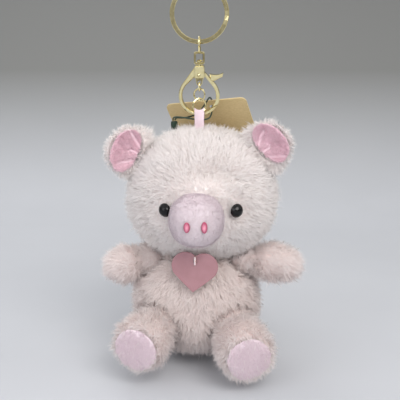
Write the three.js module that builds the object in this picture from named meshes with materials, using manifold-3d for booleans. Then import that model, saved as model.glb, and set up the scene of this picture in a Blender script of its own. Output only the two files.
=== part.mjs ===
// Plush pig bag charm: a stuffed pig hangs by its ribbon from a key ring with a swivel and a round clasp.
// Millimetres, +Z up. The pig faces -Y and +X is the viewer's right. The origin is the centre of the key ring,
// and x = 0, y = 0 is the line that the whole chain hangs on.
import * as THREE from "three";
import { mergeVertices } from "three/addons/utils/BufferGeometryUtils.js";
import Module from "manifold-3d";

const wasm = await Module();
wasm.setup();

// Driving sizes

const clearance = 0.3; // between pieces that touch
const overrun = 1; // how far a cutter runs past what it cuts
const weld = 0.01; // points nearer than this count as one

const keyRing = {
  outerDiameter: 30,
  bandWidth: 2.25,
  coilThickness: 0.9,
  coilGap: 0.15,
  edgeRound: 0.25,
  stepDegrees: 26,
  endGapDegrees: 3,
  endsAtDegrees: -22,
  stationsPerTurn: 36,
};

const yoke = {
  eyeHoleRadius: 1.95,
  eyeWire: 1,
  stemDiameter: 1.5,
  stemLength: 1.9,
  width: 5.5,
  depth: 3.2,
  height: 6.4,
  bar: 1,
  corner: 1,
  pinHoleRadius: 0.95,
};

const pin = { shaftRadius: 0.65, headRadius: 1.25, headHeight: 1.1, depthInNeck: 2.4, tipHeight: 0.4 };

const clasp = {
  tiltDegrees: 11,
  neckWidth: 5.2,
  neckDepth: 4,
  neckHeight: 6.4,
  neckRound: 0.4,
  ringOuterRadius: 10.6,
  ringWidth: 1.8,
  ringDepth: 2.4,
  ringRound: 0.4,
  ringDrop: 9.3,
  ringAside: -0.3,
  tipDegrees: -34,
  tipGap: 0.5,
  slotWidth: 1.9,
  slotHeight: 3.2,
  slotWall: 0.7,
  lugDepth: 1.4,
  lugTopWidth: 4,
  lugEndRadius: 1.6,
  lugDrop: 2.1,
  lugHoleRadius: 0.95,
};

const gate = {
  hubRadius: 1.3,
  hubAside: -0.4,
  hubBelowNeckTop: 4.6,
  armWidth: 2.2,
  armRound: 0.2,
  grooveWidth: 0.8,
  grooveDepth: 0.35,
  leverUpShare: 0.28,
  leverLength: 6.4,
  leverRise: 3.4,
  leverThickness: 1.2,
  leverDepth: 3,
};

const rivet = { radius: 0.55, headRadius: 0.95, headHeight: 0.4 };

const link = { wire: 0.8, width: 3.8 };
const upperRing = { outerDiameter: 7.1, wire: 0.9, yawDegrees: -25 };
const lowerRing = { outerDiameter: 8.2, wire: 0.9, yawDegrees: 30 };
const ringSplit = 0.15; // the closed cut of a jump ring
const linkDrop = 4.3; // between the centres of the link's top and bottom wire

const ribbon = {
  width: 4.8,
  thickness: 0.5,
  foldRadius: 1.2,
  openLength: 3.2,
  sewnDepth: 4,
  legGap: 0.3,
};

const headTop = -57.5; // where the ribbon goes into the head
const head = {
  halfWidth: 39,
  halfDepth: 34,
  halfHeight: 34.5,
  fullness: 2.15,
  taper: -0.04,
  segments: 30,
  rings: 18,
};
head.centre = { x: 1.2, y: 2, z: headTop - head.halfHeight };

const neckLap = 10.5; // how far the torso's round top would reach into the head
const torso = {
  halfWidth: 34,
  halfDepth: 28.5,
  halfHeight: 32,
  fullness: 2.3,
  taper: -0.08,
  seatDepth: 1.2,
  segments: 26,
  rings: 16,
};
torso.centre = { x: -1.8, y: 4, z: head.centre.z - head.halfHeight + neckLap - torso.halfHeight };

const snout = {
  halfWidth: 13.9,
  halfDepth: 16,
  halfHeight: 13.7,
  fullness: 2.3,
  aside: -0.3,
  drop: 6.6,
  rootDepth: 1,
  segments: 24,
  rings: 14,
};
snout.centre = {
  x: head.centre.x + snout.aside,
  y: head.centre.y - head.halfDepth + snout.rootDepth,
  z: head.centre.z - snout.drop,
};

const nostril = { spacing: 7.8, aside: 0.5, drop: 0.5, halfWidth: 1.6, halfHeight: 2.6, stand: 0.7, sunk: 2.4 };

const eye = {
  spacing: 35,
  drop: 2.8,
  aside: 1.5,
  domeRadius: 3.5,
  domeHeight: 2.5,
  shankRadius: 1.2,
  shankLength: 8,
  washerRadius: 4.5,
  washerThickness: 1.2,
  washerDepth: 4.6,
};

const ear = {
  halfWidth: 13.5,
  length: 20,
  halfThickness: 3,
  rootRadius: 2.7,
  rootHalfLength: 9.5,
  cupDepth: 2.5,
  cupRadius: 42,
  liningThickness: 1,
  liningMargin: 2.2,
  forward: 9,
  stand: 0.5,
  foldRoom: 1.1,
};
const ears = [
  { side: "left", aroundDegrees: -56, leanDegrees: -66, turnDegrees: 12, flopDegrees: 22 },
  { side: "right", aroundDegrees: 53, leanDegrees: 47, turnDegrees: -10, flopDegrees: 15 },
];

// Each limb's root is given as shares of the torso's half sizes from its centre, and its reach as a direction
const arm = {
  rootRadius: 9.2,
  swellRadius: 10.6,
  endRadius: 8.8,
  shoulderDegrees: 50,
};
const armLeft = {
  side: "left",
  rootShares: { x: -0.7, y: -0.175, z: 0.625 },
  length: 26,
  reachShares: { x: -1, y: -0.34, z: -0.16 },
};
const armRight = {
  side: "right",
  rootShares: { x: 0.72, y: -0.175, z: 0.68 },
  length: 32,
  reachShares: { x: 1, y: -0.24, z: -0.08 },
};

const dimpleShare = 1.02; // a dimple's radius as a share of its limb's root
const limbRoom = 1.2; // between a limb and the head or the torso

const leg = {
  rootRadius: 12.6,
  swellRadius: 14,
  soleRadius: 12.2,
  hipDegrees: 40,
  soleRound: 1.8,
  padThickness: 1.6,
  padCrown: 0.9,
};
const legLeft = {
  side: "left",
  rootShares: { x: -0.56, y: -0.667, z: -0.39 },
  length: 27,
  reachShares: { x: -0.3, y: -1, z: -0.1 },
};
const legRight = {
  side: "right",
  rootShares: { x: 0.6, y: -0.667, z: -0.42 },
  length: 30,
  reachShares: { x: 0.3, y: -1, z: -0.13 },
};

function rooted(limb) {
  const { centre, halfWidth, halfDepth, halfHeight } = torso;
  const root = {
    x: centre.x + halfWidth * limb.rootShares.x,
    y: centre.y + halfDepth * limb.rootShares.y,
    z: centre.z + halfHeight * limb.rootShares.z,
  };
  return { ...limb, root };
}

const arms = [armLeft, armRight].map(rooted);
const legs = [legLeft, legRight].map(rooted);

const tail = { coilRadius: 4, thickness: 4.2, pitch: 6.5, turns: 1.2, drop: 10 };

const heartTag = {
  width: 23.5,
  height: 20.5,
  thickness: 0.9,
  slotRadius: 0.75,
  slotBelowTop: 4.6,
  lobeShare: 0.3,
  sideShares: { x: 0.3, z: 0.72 },
  stand: 9,
  rollDegrees: -4,
  leanDegrees: 4,
  aside: 1.5,
  rise: 22.4,
};
const tagPin = { stemRadius: 0.4, stemLength: 14, stemRise: 3.8, barRadius: 0.5, barLength: 4.4 };

const hangTag = {
  width: 45,
  height: 66,
  thickness: 0.7,
  corner: 3,
  holeRadius: 1.5,
  holeBelowTop: 4.5,
  holeAside: 3,
  rollDegrees: 8,
  yawDegrees: -11,
  place: { x: 6, y: 11.5, z: -47.5 },
};

const tagString = { diameter: 0.9, sides: 6, steps: 48 };
const stringLock = { radius: 1.8, length: 4.7, place: { x: -13.7, y: 5.5, z: -54.6 } };
// The string's route, chosen by hand: out of the lock, through the ribbon loop and the tag's hole, and back
const stringRoute = [
  [-14.3, 5.5, -54.2],
  [-14.2, 5, -53.2],
  [-13, 4, -52.4],
  [-10, 2.6, -52.3],
  [-6, 1.2, -52.7],
  [-3, 0.2, -53],
  [0, 0, -53.2],
  [3, 0.6, -53.2],
  [5, 3.5, -52.6],
  [5.8, 6.6, -51],
  [6, 9.2, -49.4],
  [6, 11.5, -47.5],
  [6.1, 13.4, -45.8],
  [5.6, 13, -44],
  [5, 11, -42.7],
  [4.3, 8.4, -42.8],
  [3.3, 6.8, -44.4],
  [1.6, 6.6, -47],
  [-1, 6.9, -50.2],
  [-5, 6.9, -52.2],
  [-9.5, 6.3, -53],
  [-12.4, 5.8, -53],
  [-13.1, 5.5, -53.6],
  [-13.1, 5.5, -54.2],
];

const finish = {
  gold: { color: 0xc9b072, roughness: 0.22, metalness: 1 },
  whiteFur: { color: 0xf3e4e2, roughness: 0.95, metalness: 0 },
  pinkFur: { color: 0xf2d6d3, roughness: 0.95, metalness: 0 },
  pinkPlush: { color: 0xefc3d0, roughness: 0.9, metalness: 0 },
  ribbonPink: { color: 0xf3cfdd, roughness: 0.6, metalness: 0 },
  rosePink: { color: 0xcf5f7d, roughness: 0.6, metalness: 0 },
  blackPlastic: { color: 0x0d0c0e, roughness: 0.12, metalness: 0 },
  clearPlastic: { color: 0xe8dcd8, roughness: 0.35, metalness: 0 },
  duskyLeather: { color: 0xc98e98, roughness: 0.45, metalness: 0 },
  kraftCard: { color: 0xb59c6c, roughness: 0.8, metalness: 0 },
  greenCord: { color: 0x1d3a27, roughness: 0.7, metalness: 0 },
};

// Solids and meshes

// A closed geometry as a manifold-3d solid.
function solid(geometry) {
  const bare = geometry.index ? geometry.toNonIndexed() : geometry.clone();
  bare.deleteAttribute("normal");
  bare.deleteAttribute("uv");
  const merged = mergeVertices(bare, 1e-4);
  const body = new wasm.Manifold(
    new wasm.Mesh({
      numProp: 3,
      vertProperties: merged.attributes.position.array,
      triVerts: new Uint32Array(merged.index.array),
    }),
  );
  return body;
}

// A solid's surface as a geometry.
function surface(body) {
  const mesh = body.getMesh();
  const places = new Float32Array(mesh.numVert * 3);
  for (let i = 0; i < mesh.numVert; i += 1) {
    const from = i * mesh.numProp;
    places.set(mesh.vertProperties.subarray(from, from + 3), i * 3);
  }
  const geometry = new THREE.BufferGeometry();
  geometry.setAttribute("position", new THREE.BufferAttribute(places, 3));
  geometry.setIndex(new THREE.BufferAttribute(new Uint32Array(mesh.triVerts), 1));
  geometry.computeVertexNormals();
  return geometry;
}

function joined(...geometries) {
  return geometries.map(solid).reduce((all, next) => all.add(next));
}

function piece(name, shape, look, parent) {
  const geometry = shape.isBufferGeometry ? shape : surface(shape);
  const mesh = new THREE.Mesh(geometry, new THREE.MeshStandardMaterial(look));
  mesh.name = name;
  parent.add(mesh);
  return mesh;
}

const radians = THREE.MathUtils.degToRad;

function vector({ x = 0, y = 0, z = 0 }) {
  return new THREE.Vector3(x, y, z);
}

// A closed skin over a row of loops, each a list of points, with its ends capped.
function skin(loops) {
  const places = [];
  const faces = [];
  const count = loops[0].length;
  for (const loop of loops) {
    for (const point of loop) places.push(point.x, point.y, point.z);
  }
  for (let i = 0; i + 1 < loops.length; i += 1) {
    for (let j = 0; j < count; j += 1) {
      const a = i * count + j;
      const b = i * count + ((j + 1) % count);
      faces.push(a, b, b + count, a, b + count, a + count);
    }
  }
  [0, loops.length - 1].forEach((row) => {
    const middle = new THREE.Vector3();
    loops[row].forEach((point) => middle.addScaledVector(point, 1 / count));
    const hub = places.length / 3;
    places.push(middle.x, middle.y, middle.z);
    for (let j = 0; j < count; j += 1) {
      const a = row * count + j;
      const b = row * count + ((j + 1) % count);
      if (row === 0) faces.push(hub, b, a);
      else faces.push(hub, a, b);
    }
  });
  const geometry = new THREE.BufferGeometry();
  geometry.setAttribute("position", new THREE.Float32BufferAttribute(places, 3));
  geometry.setIndex(faces);
  return geometry;
}

// A rounded rectangle as a shape, centred on a point.
function roundedRectangle(width, height, corner, centre = { x: 0, y: 0 }) {
  const shape = new THREE.Shape();
  const right = centre.x + width / 2;
  const left = centre.x - width / 2;
  const top = centre.y + height / 2;
  const bottom = centre.y - height / 2;
  shape.moveTo(left + corner, bottom);
  shape.lineTo(right - corner, bottom);
  shape.absarc(right - corner, bottom + corner, corner, -Math.PI / 2, 0);
  shape.lineTo(right, top - corner);
  shape.absarc(right - corner, top - corner, corner, 0, Math.PI / 2);
  shape.lineTo(left + corner, top);
  shape.absarc(left + corner, top - corner, corner, Math.PI / 2, Math.PI);
  shape.lineTo(left, bottom + corner);
  shape.absarc(left + corner, bottom + corner, corner, Math.PI, 1.5 * Math.PI);
  return shape;
}

// A path as straight steps, without points that fall on each other.
function stepped(path, curveSegments) {
  const points = path.getPoints(curveSegments);
  return points.filter((point, i) => {
    const next = points[(i + 1) % points.length];
    return point.distanceTo(next) > weld;
  });
}

// A shape drawn in x and z, as thick as depth along y and centred on y = 0.
function frontal(drawn, depth, round = 0, curveSegments = 20) {
  const shape = new THREE.Shape(stepped(drawn, curveSegments));
  shape.holes = drawn.holes.map((hole) => new THREE.Path(stepped(hole, curveSegments)));
  const geometry = new THREE.ExtrudeGeometry(shape, {
    depth: depth - 2 * round,
    bevelEnabled: round > 0,
    bevelThickness: round,
    bevelSize: round,
    bevelOffset: -round,
    bevelSegments: 1,
    curveSegments,
  });
  geometry.translate(0, 0, round - depth / 2);
  geometry.rotateX(Math.PI / 2);
  return geometry;
}

// A cylinder along z between two heights.
function post(radius, bottom, top, sides = 20) {
  const geometry = new THREE.CylinderGeometry(radius, radius, top - bottom, sides);
  geometry.rotateX(Math.PI / 2);
  geometry.translate(0, 0, (top + bottom) / 2);
  return geometry;
}

// A cylinder along y, centred on a place in x and z.
function crossPost(radius, length, x, z, sides = 20) {
  const geometry = new THREE.CylinderGeometry(radius, radius, length, sides);
  geometry.translate(x, 0, z);
  return geometry;
}

function box(width, depth, height, centre) {
  const geometry = new THREE.BoxGeometry(width, depth, height);
  geometry.translate(centre.x, centre.y, centre.z);
  return geometry;
}

// A profile of radius and height turned about z.
function turned(profile, sides) {
  const points = profile.map(([radius, height]) => new THREE.Vector2(radius, height));
  const geometry = new THREE.LatheGeometry(points, sides);
  geometry.rotateX(Math.PI / 2);
  return geometry;
}

// A curve given by a function of its share from 0 to 1.
class Route extends THREE.Curve {
  constructor(place) {
    super();
    this.place = place;
  }
  getPoint(share, target = new THREE.Vector3()) {
    return target.copy(this.place(share));
  }
}

// A round tube along a curve.
function tube(curve, diameter, steps, sides = 8) {
  const section = new THREE.Shape();
  for (let i = 0; i < sides; i += 1) {
    const angle = (2 * Math.PI * i) / sides;
    const x = (diameter / 2) * Math.cos(angle);
    const y = (diameter / 2) * Math.sin(angle);
    if (i === 0) section.moveTo(x, y);
    else section.lineTo(x, y);
  }
  section.closePath();
  return new THREE.ExtrudeGeometry(section, { steps, extrudePath: curve, bevelEnabled: false });
}

// A jump ring: a circle of wire in the x-z plane with its cut at one side.
function jumpRing({ outerDiameter, wire }, steps = 24) {
  const radius = (outerDiameter - wire) / 2;
  const cut = ringSplit / radius;
  const route = new Route((share) => {
    const angle = cut / 2 + share * (2 * Math.PI - cut);
    return new THREE.Vector3(radius * Math.cos(angle), 0, radius * Math.sin(angle));
  });
  return tube(route, wire, steps);
}

// A stuffed form: a rounded ball that swells and tapers, grown all round by extra.
function plump(form, extra = 0) {
  const { centre, halfWidth, halfDepth, halfHeight, fullness, taper = 0, segments, rings } = form;
  const geometry = new THREE.SphereGeometry(1, segments, rings);
  geometry.rotateX(Math.PI / 2);
  const places = geometry.attributes.position;
  const point = new THREE.Vector3();
  for (let i = 0; i < places.count; i += 1) {
    point.fromBufferAttribute(places, i);
    const norm = [point.x, point.y, point.z]
      .reduce((sum, part) => sum + Math.abs(part) ** fullness, 0) ** (1 / fullness);
    point.divideScalar(norm);
    const swell = 1 + taper * point.z;
    places.setXYZ(
      i,
      centre.x + (halfWidth + extra) * point.x * swell,
      centre.y + (halfDepth + extra) * point.y * swell,
      centre.z + (halfHeight + extra) * point.z,
    );
  }
  geometry.deleteAttribute("normal");
  geometry.deleteAttribute("uv");
  return geometry;
}

// Where the front of a stuffed form is at a place in x and z.
function frontOf(form, x, z) {
  const { centre, halfWidth, halfDepth, halfHeight, fullness, taper = 0 } = form;
  const up = (z - centre.z) / halfHeight;
  const swell = 1 + taper * up;
  const aside = (x - centre.x) / (halfWidth * swell);
  const left = 1 - Math.abs(aside) ** fullness - Math.abs(up) ** fullness;
  return centre.y - halfDepth * swell * Math.max(left, 0) ** (1 / fullness);
}

// Turns a geometry made along z to point along reach from root.
function aimed(geometry, root, reach) {
  const turn = new THREE.Quaternion().setFromUnitVectors(
    new THREE.Vector3(0, 0, 1),
    vector(reach).normalize(),
  );
  geometry.applyQuaternion(turn);
  geometry.translate(root.x, root.y, root.z);
  return geometry;
}

// A quarter or more of a circle as profile points, from one angle to another in degrees.
function arc(radius, middle, from, to, count) {
  return Array.from({ length: count + 1 }, (_, i) => {
    const angle = radians(from + ((to - from) * i) / count);
    return [Math.max(radius * Math.cos(angle), 0), middle + radius * Math.sin(angle)];
  });
}

const pig = new THREE.Group();

// Key ring: flat wire wound in two turns, with a step where it passes from one turn to the other

const ringRadius = keyRing.outerDiameter / 2;
const ringMiddle = ringRadius - keyRing.bandWidth / 2;

function splitRing() {
  const { bandWidth, coilThickness, coilGap, edgeRound } = keyRing;
  const { stepDegrees, endGapDegrees, endsAtDegrees, stationsPerTurn } = keyRing;
  const layer = (coilThickness + coilGap) / 2;
  const travel = 720 - stepDegrees - 2 * endGapDegrees;
  const count = Math.round((travel / 360) * stationsPerTurn);
  const stepStarts = 360 - stepDegrees - endGapDegrees;
  const halfWidth = bandWidth / 2;
  const halfThick = coilThickness / 2;
  const section = [
    [halfWidth - edgeRound, -halfThick],
    [halfWidth, -halfThick + edgeRound],
    [halfWidth, halfThick - edgeRound],
    [halfWidth - edgeRound, halfThick],
    [-halfWidth + edgeRound, halfThick],
    [-halfWidth, halfThick - edgeRound],
    [-halfWidth, -halfThick + edgeRound],
    [-halfWidth + edgeRound, -halfThick],
  ];
  const loops = [];
  for (let i = 0; i <= count; i += 1) {
    const along = (travel * i) / count;
    const share = THREE.MathUtils.smoothstep(along, stepStarts, stepStarts + stepDegrees);
    const y = layer * (1 - 2 * share);
    const angle = radians(endsAtDegrees - endGapDegrees - along);
    loops.push(
      section.map(([out, thick]) => {
        const radius = ringMiddle + out;
        return new THREE.Vector3(radius * Math.cos(angle), y - thick, radius * Math.sin(angle));
      }),
    );
  }
  return skin(loops);
}

piece("key_ring", splitRing(), finish.gold, pig);

// Swivel yoke: the eye round the key ring, its stem and the frame that the pin turns in

const eyeMiddle = -ringMiddle;
const eyeRadius = yoke.eyeHoleRadius + yoke.eyeWire / 2;
const eyeBottom = eyeMiddle - eyeRadius - yoke.eyeWire / 2;
const yokeTop = eyeBottom - yoke.stemLength;
const yokeBottom = yokeTop - yoke.height;

function swivelYoke() {
  const eyeRing = new THREE.TorusGeometry(eyeRadius, yoke.eyeWire / 2, 8, 20);
  eyeRing.rotateY(Math.PI / 2);
  eyeRing.translate(0, 0, eyeMiddle);
  const stem = post(yoke.stemDiameter / 2, yokeTop - yoke.bar / 2, eyeBottom + yoke.eyeWire / 2, 14);
  const middle = { x: 0, y: (yokeTop + yokeBottom) / 2 };
  const outline = roundedRectangle(yoke.width, yoke.height, yoke.corner, middle);
  const inner = { width: yoke.width - 2 * yoke.bar, height: yoke.height - 2 * yoke.bar };
  outline.holes.push(roundedRectangle(inner.width, inner.height, yoke.corner / 2, middle));
  const frame = frontal(outline, yoke.depth, clearance, 4);
  const bore = post(yoke.pinHoleRadius, yokeBottom - overrun, yokeBottom + yoke.bar + overrun, 16);
  return joined(eyeRing, stem, frame).subtract(solid(bore));
}

piece("swivel_yoke", swivelYoke(), finish.gold, pig);

// Swivel pin: its head sits in the yoke's frame and its shaft is fixed in the clasp's neck

const neckTop = yokeBottom - 2 * clearance;

function swivelPin() {
  const seat = yokeBottom + yoke.bar + clearance;
  const tip = neckTop - pin.depthInNeck;
  const crown = seat + pin.headHeight;
  return turned(
    [
      [0, tip],
      [pin.shaftRadius - pin.tipHeight / 2, tip],
      [pin.shaftRadius, tip + pin.tipHeight],
      [pin.shaftRadius, seat],
      [pin.headRadius, seat],
      [pin.headRadius, seat + pin.headHeight / 2],
      [pin.shaftRadius, crown],
      [0, crown],
    ],
    20,
  );
}

piece("swivel_pin", swivelPin(), finish.gold, pig);

// Clasp: a neck, a ring-shaped hook that leans back, and a lug that the small link hangs from.
// The clasp's group has its origin at the top of the neck and leans back, so that the chain hangs in front.

const claspGroup = new THREE.Group();
claspGroup.position.z = neckTop;
claspGroup.rotation.x = radians(clasp.tiltDegrees);
pig.add(claspGroup);

const claspRing = {
  x: clasp.ringAside,
  z: -clasp.neckHeight - clasp.ringDrop,
  outer: clasp.ringOuterRadius,
  inner: clasp.ringOuterRadius - clasp.ringWidth,
};
const hubPlace = { x: gate.hubAside, z: -gate.hubBelowNeckTop };
const ringMiddleRadius = clasp.ringOuterRadius - clasp.ringWidth / 2;
const tipPlace = {
  x: claspRing.x + ringMiddleRadius * Math.cos(radians(clasp.tipDegrees)),
  z: claspRing.z + ringMiddleRadius * Math.sin(radians(clasp.tipDegrees)),
};
const gateSwing = Math.hypot(tipPlace.x - hubPlace.x, tipPlace.z - hubPlace.z);
const lugHole = neckTop - clasp.neckHeight - clasp.lugDrop;

// The angle at which a line from a point touches a circle round the clasp ring's centre, on one side.
function touchAngle(point, radius, side) {
  const dx = point.x - claspRing.x;
  const dz = point.z - claspRing.z;
  return Math.atan2(dz, dx) + side * Math.acos(radius / Math.hypot(dx, dz));
}

function onCircle(radius, angle) {
  return [claspRing.x + radius * Math.cos(angle), claspRing.z + radius * Math.sin(angle)];
}

// The hook's outline: down from the neck's left side, round the bottom and up to the tip.
function hookOutline() {
  const { outer, inner } = claspRing;
  const half = clasp.neckWidth / 2;
  const start = { x: -half, z: -clasp.ringWidth / 2 };
  const end = { x: -half / 2, z: -clasp.neckHeight + clasp.ringWidth };
  const outAngle = touchAngle(start, outer, 1);
  const inAngle = touchAngle(end, inner, 1);
  const tip = 2 * Math.PI + radians(clasp.tipDegrees / 2);
  const shape = new THREE.Shape();
  shape.moveTo(start.x + clasp.ringWidth, start.z);
  shape.lineTo(start.x, start.z);
  shape.lineTo(...onCircle(outer, outAngle));
  shape.absarc(claspRing.x, claspRing.z, outer, outAngle, tip, false);
  shape.lineTo(...onCircle(inner, tip));
  shape.absarc(claspRing.x, claspRing.z, inner, tip, inAngle, true);
  shape.lineTo(end.x, end.z);
  return shape;
}

// The block under the yoke, slotted from its right side for the gate's hub.
function neckBlock() {
  const middle = { x: 0, y: -clasp.neckHeight / 2 };
  const outline = roundedRectangle(clasp.neckWidth, clasp.neckHeight, 2 * clasp.neckRound, middle);
  const block = frontal(outline, clasp.neckDepth, clasp.neckRound, 3);
  const left = -clasp.neckWidth / 2 + clasp.slotWall;
  const right = clasp.neckWidth / 2 + overrun;
  const slot = box(right - left, clasp.slotWidth, clasp.slotHeight, {
    x: (left + right) / 2,
    y: 0,
    z: hubPlace.z,
  });
  return [block, slot];
}

// The lug hangs straight down from the leaning neck, as the load does.
function lug() {
  const shape = new THREE.Shape();
  const top = neckTop - clasp.neckHeight + clasp.neckRound + clasp.slotWall / 2;
  const half = clasp.lugTopWidth / 2;
  shape.moveTo(half, top);
  shape.lineTo(-half, top);
  shape.lineTo(-half, top - clasp.slotWall);
  shape.lineTo(-clasp.lugEndRadius, lugHole);
  shape.absarc(0, lugHole, clasp.lugEndRadius, Math.PI, 2 * Math.PI, false);
  shape.lineTo(half, top - clasp.slotWall);
  return frontal(shape, clasp.lugDepth, clasp.slotWall / 4, 8);
}

function claspBody() {
  const lean = new THREE.Matrix4().makeRotationX(radians(clasp.tiltDegrees));
  lean.setPosition(0, 0, neckTop);
  const [block, slot] = neckBlock();
  const hook = frontal(hookOutline(), clasp.ringDepth, clasp.ringRound, 22);
  const rivetBore = crossPost(rivet.radius + clearance / 2, clasp.neckDepth + 2 * overrun, hubPlace.x, hubPlace.z);
  const swing = crossPost(gateSwing + clasp.tipGap / 2, 2 * clasp.neckDepth, hubPlace.x, hubPlace.z, 64);
  const rightSide = box(2 * gateSwing, 2 * clasp.neckDepth, 4 * gateSwing, { x: gateSwing, y: 0, z: hubPlace.z });
  const cutHook = surface(solid(hook).subtract(solid(swing).intersect(solid(rightSide))));
  [block, slot, cutHook, rivetBore].forEach((shape) => shape.applyMatrix4(lean));
  const pinDepth = pin.depthInNeck + clearance;
  const pinBore = post(pin.shaftRadius + clearance / 2, neckTop - pinDepth, neckTop + overrun, 16);
  const lugBore = crossPost(clasp.lugHoleRadius, clasp.lugDepth + 2 * overrun, 0, lugHole, 16);
  return joined(block, cutHook, lug())
    .subtract(solid(slot))
    .subtract(solid(rivetBore))
    .subtract(solid(pinBore))
    .subtract(solid(lugBore));
}

piece("clasp_body", claspBody(), finish.gold, pig);

// Gate: hub in the neck's slot, a curved arm that closes the ring, and a thumb lever

function claspGate() {
  const { outer, inner } = claspRing;
  const half = clasp.neckWidth / 2;
  const hub = crossPost(gate.hubRadius, clasp.slotWidth - 2 * clearance, hubPlace.x, hubPlace.z);
  const start = { x: half + clearance, z: hubPlace.z + gate.hubRadius };
  const end = { x: half + clearance, z: hubPlace.z - gate.hubRadius + clearance };
  const outAngle = touchAngle(start, outer, -1);
  const inAngle = touchAngle(end, inner, -1);
  const tip = radians(clasp.tipDegrees * 1.5);
  const arm = new THREE.Shape();
  arm.moveTo(start.x, start.z);
  arm.lineTo(...onCircle(outer, outAngle));
  arm.absarc(claspRing.x, claspRing.z, outer, outAngle, tip, true);
  arm.lineTo(...onCircle(inner, tip));
  arm.absarc(claspRing.x, claspRing.z, inner, tip, inAngle, false);
  arm.lineTo(end.x, end.z);
  const band = frontal(arm, gate.armWidth, gate.armRound, 12);
  const swing = crossPost(gateSwing - clasp.tipGap / 2, clasp.neckDepth, hubPlace.x, hubPlace.z, 64);
  const tongue = new THREE.Shape();
  tongue.moveTo(hubPlace.x, hubPlace.z + gate.hubRadius);
  tongue.lineTo(hubPlace.x, hubPlace.z - gate.hubRadius);
  tongue.lineTo(end.x + clearance, end.z);
  tongue.lineTo(start.x + clearance, start.z - clearance);
  const neckTongue = frontal(tongue, clasp.slotWidth - 2 * clearance);
  const [touchX, touchZ] = onCircle(outer - clasp.ringWidth / 2, outAngle);
  const lever = thumbLever({
    x: THREE.MathUtils.lerp(touchX, start.x, gate.leverUpShare),
    z: THREE.MathUtils.lerp(touchZ, start.z, gate.leverUpShare),
  });
  const bore = crossPost(rivet.radius + clearance / 2, clasp.neckDepth, hubPlace.x, hubPlace.z);
  const grooveRing = [1, -1].map((side) => gateGroove(side));
  const whole = joined(hub, band, neckTongue, lever);
  const swung = whole.subtract(solid(bore)).intersect(solid(swing));
  return grooveRing.reduce((body, groove) => body.subtract(groove), swung);
}

// The folded sheet of the gate leaves a channel along its front and its back.
function gateGroove(side) {
  const middle = (claspRing.outer + claspRing.inner) / 2;
  const shape = new THREE.Shape();
  const from = radians(clasp.tipDegrees * 1.5);
  const to = radians(-clasp.tipDegrees);
  const wide = gate.grooveWidth / 2;
  shape.absarc(claspRing.x, claspRing.z, middle + wide, from, to, false);
  shape.absarc(claspRing.x, claspRing.z, middle - wide, to, from, true);
  const groove = frontal(shape, gate.grooveDepth * 2, 0, 10);
  groove.translate(0, (side * gate.armWidth) / 2, 0);
  return solid(groove);
}

// The lever leaves the gate's outer edge and spreads into a dished thumb rest.
function thumbLever(root) {
  const shape = new THREE.Shape();
  const { leverLength, leverRise, leverThickness } = gate;
  const tipX = root.x + leverLength;
  const topZ = root.z + leverRise;
  shape.moveTo(root.x, root.z);
  shape.lineTo(root.x - leverThickness / 2, topZ);
  shape.quadraticCurveTo(root.x + leverLength / 2, topZ - leverThickness, tipX, topZ + leverThickness / 2);
  shape.lineTo(tipX - leverThickness / 3, topZ - leverThickness);
  shape.lineTo(root.x + leverThickness * 1.6, root.z);
  return frontal(shape, gate.leverDepth, leverThickness / 5, 8);
}

piece("clasp_gate", claspGate(), finish.gold, claspGroup);

function gateRivet() {
  const half = clasp.neckDepth / 2 + clearance;
  const profile = [
    [0, -half - rivet.headHeight],
    [rivet.headRadius / 2, -half - rivet.headHeight],
    [rivet.headRadius, -half],
    [rivet.radius, -half],
    [rivet.radius, half],
    [rivet.headRadius, half],
    [rivet.headRadius / 2, half + rivet.headHeight],
    [0, half + rivet.headHeight],
  ];
  const geometry = turned(profile, 18);
  geometry.rotateX(Math.PI / 2);
  return geometry;
}

const rivetMesh = piece("gate_rivet", gateRivet(), finish.gold, claspGroup);
rivetMesh.position.set(hubPlace.x, 0, hubPlace.z);

// Chain: a small link in the lug, then two jump rings, each resting on the wire of the one above

const linkTop = lugHole;
const linkBottom = linkTop - linkDrop;

function smallLink() {
  const half = (link.width - link.wire) / 2;
  const straight = linkDrop - 2 * half;
  const bend = Math.PI * half;
  const whole = 2 * straight + 2 * bend;
  const open = ringSplit;
  const middle = (linkTop + linkBottom) / 2;
  const route = new Route((share) => {
    const along = open / 2 + straight / 2 + share * (whole - open);
    const place = (along - straight / 2) % whole;
    if (place < straight / 2) return new THREE.Vector3(0, half, middle + place);
    if (place < straight / 2 + bend) {
      const angle = (place - straight / 2) / half;
      return new THREE.Vector3(0, half * Math.cos(angle), middle + straight / 2 + half * Math.sin(angle));
    }
    if (place < 1.5 * straight + bend) {
      return new THREE.Vector3(0, -half, middle + straight / 2 - (place - straight / 2 - bend));
    }
    if (place < 1.5 * straight + 2 * bend) {
      const angle = Math.PI + (place - 1.5 * straight - bend) / half;
      return new THREE.Vector3(0, half * Math.cos(angle), middle - straight / 2 + half * Math.sin(angle));
    }
    return new THREE.Vector3(0, half, middle - straight / 2 + (place - 1.5 * straight - 2 * bend));
  });
  return tube(route, link.wire, 28);
}

piece("small_link", smallLink(), finish.gold, pig);

const upperRadius = (upperRing.outerDiameter - upperRing.wire) / 2;
const upperTop = linkBottom + (link.wire + upperRing.wire) / 2 + clearance;
const upperMiddle = upperTop - upperRadius;
const upperMesh = piece("jump_ring_upper", jumpRing(upperRing), finish.gold, pig);
upperMesh.position.z = upperMiddle;
upperMesh.rotation.z = radians(upperRing.yawDegrees);

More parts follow.
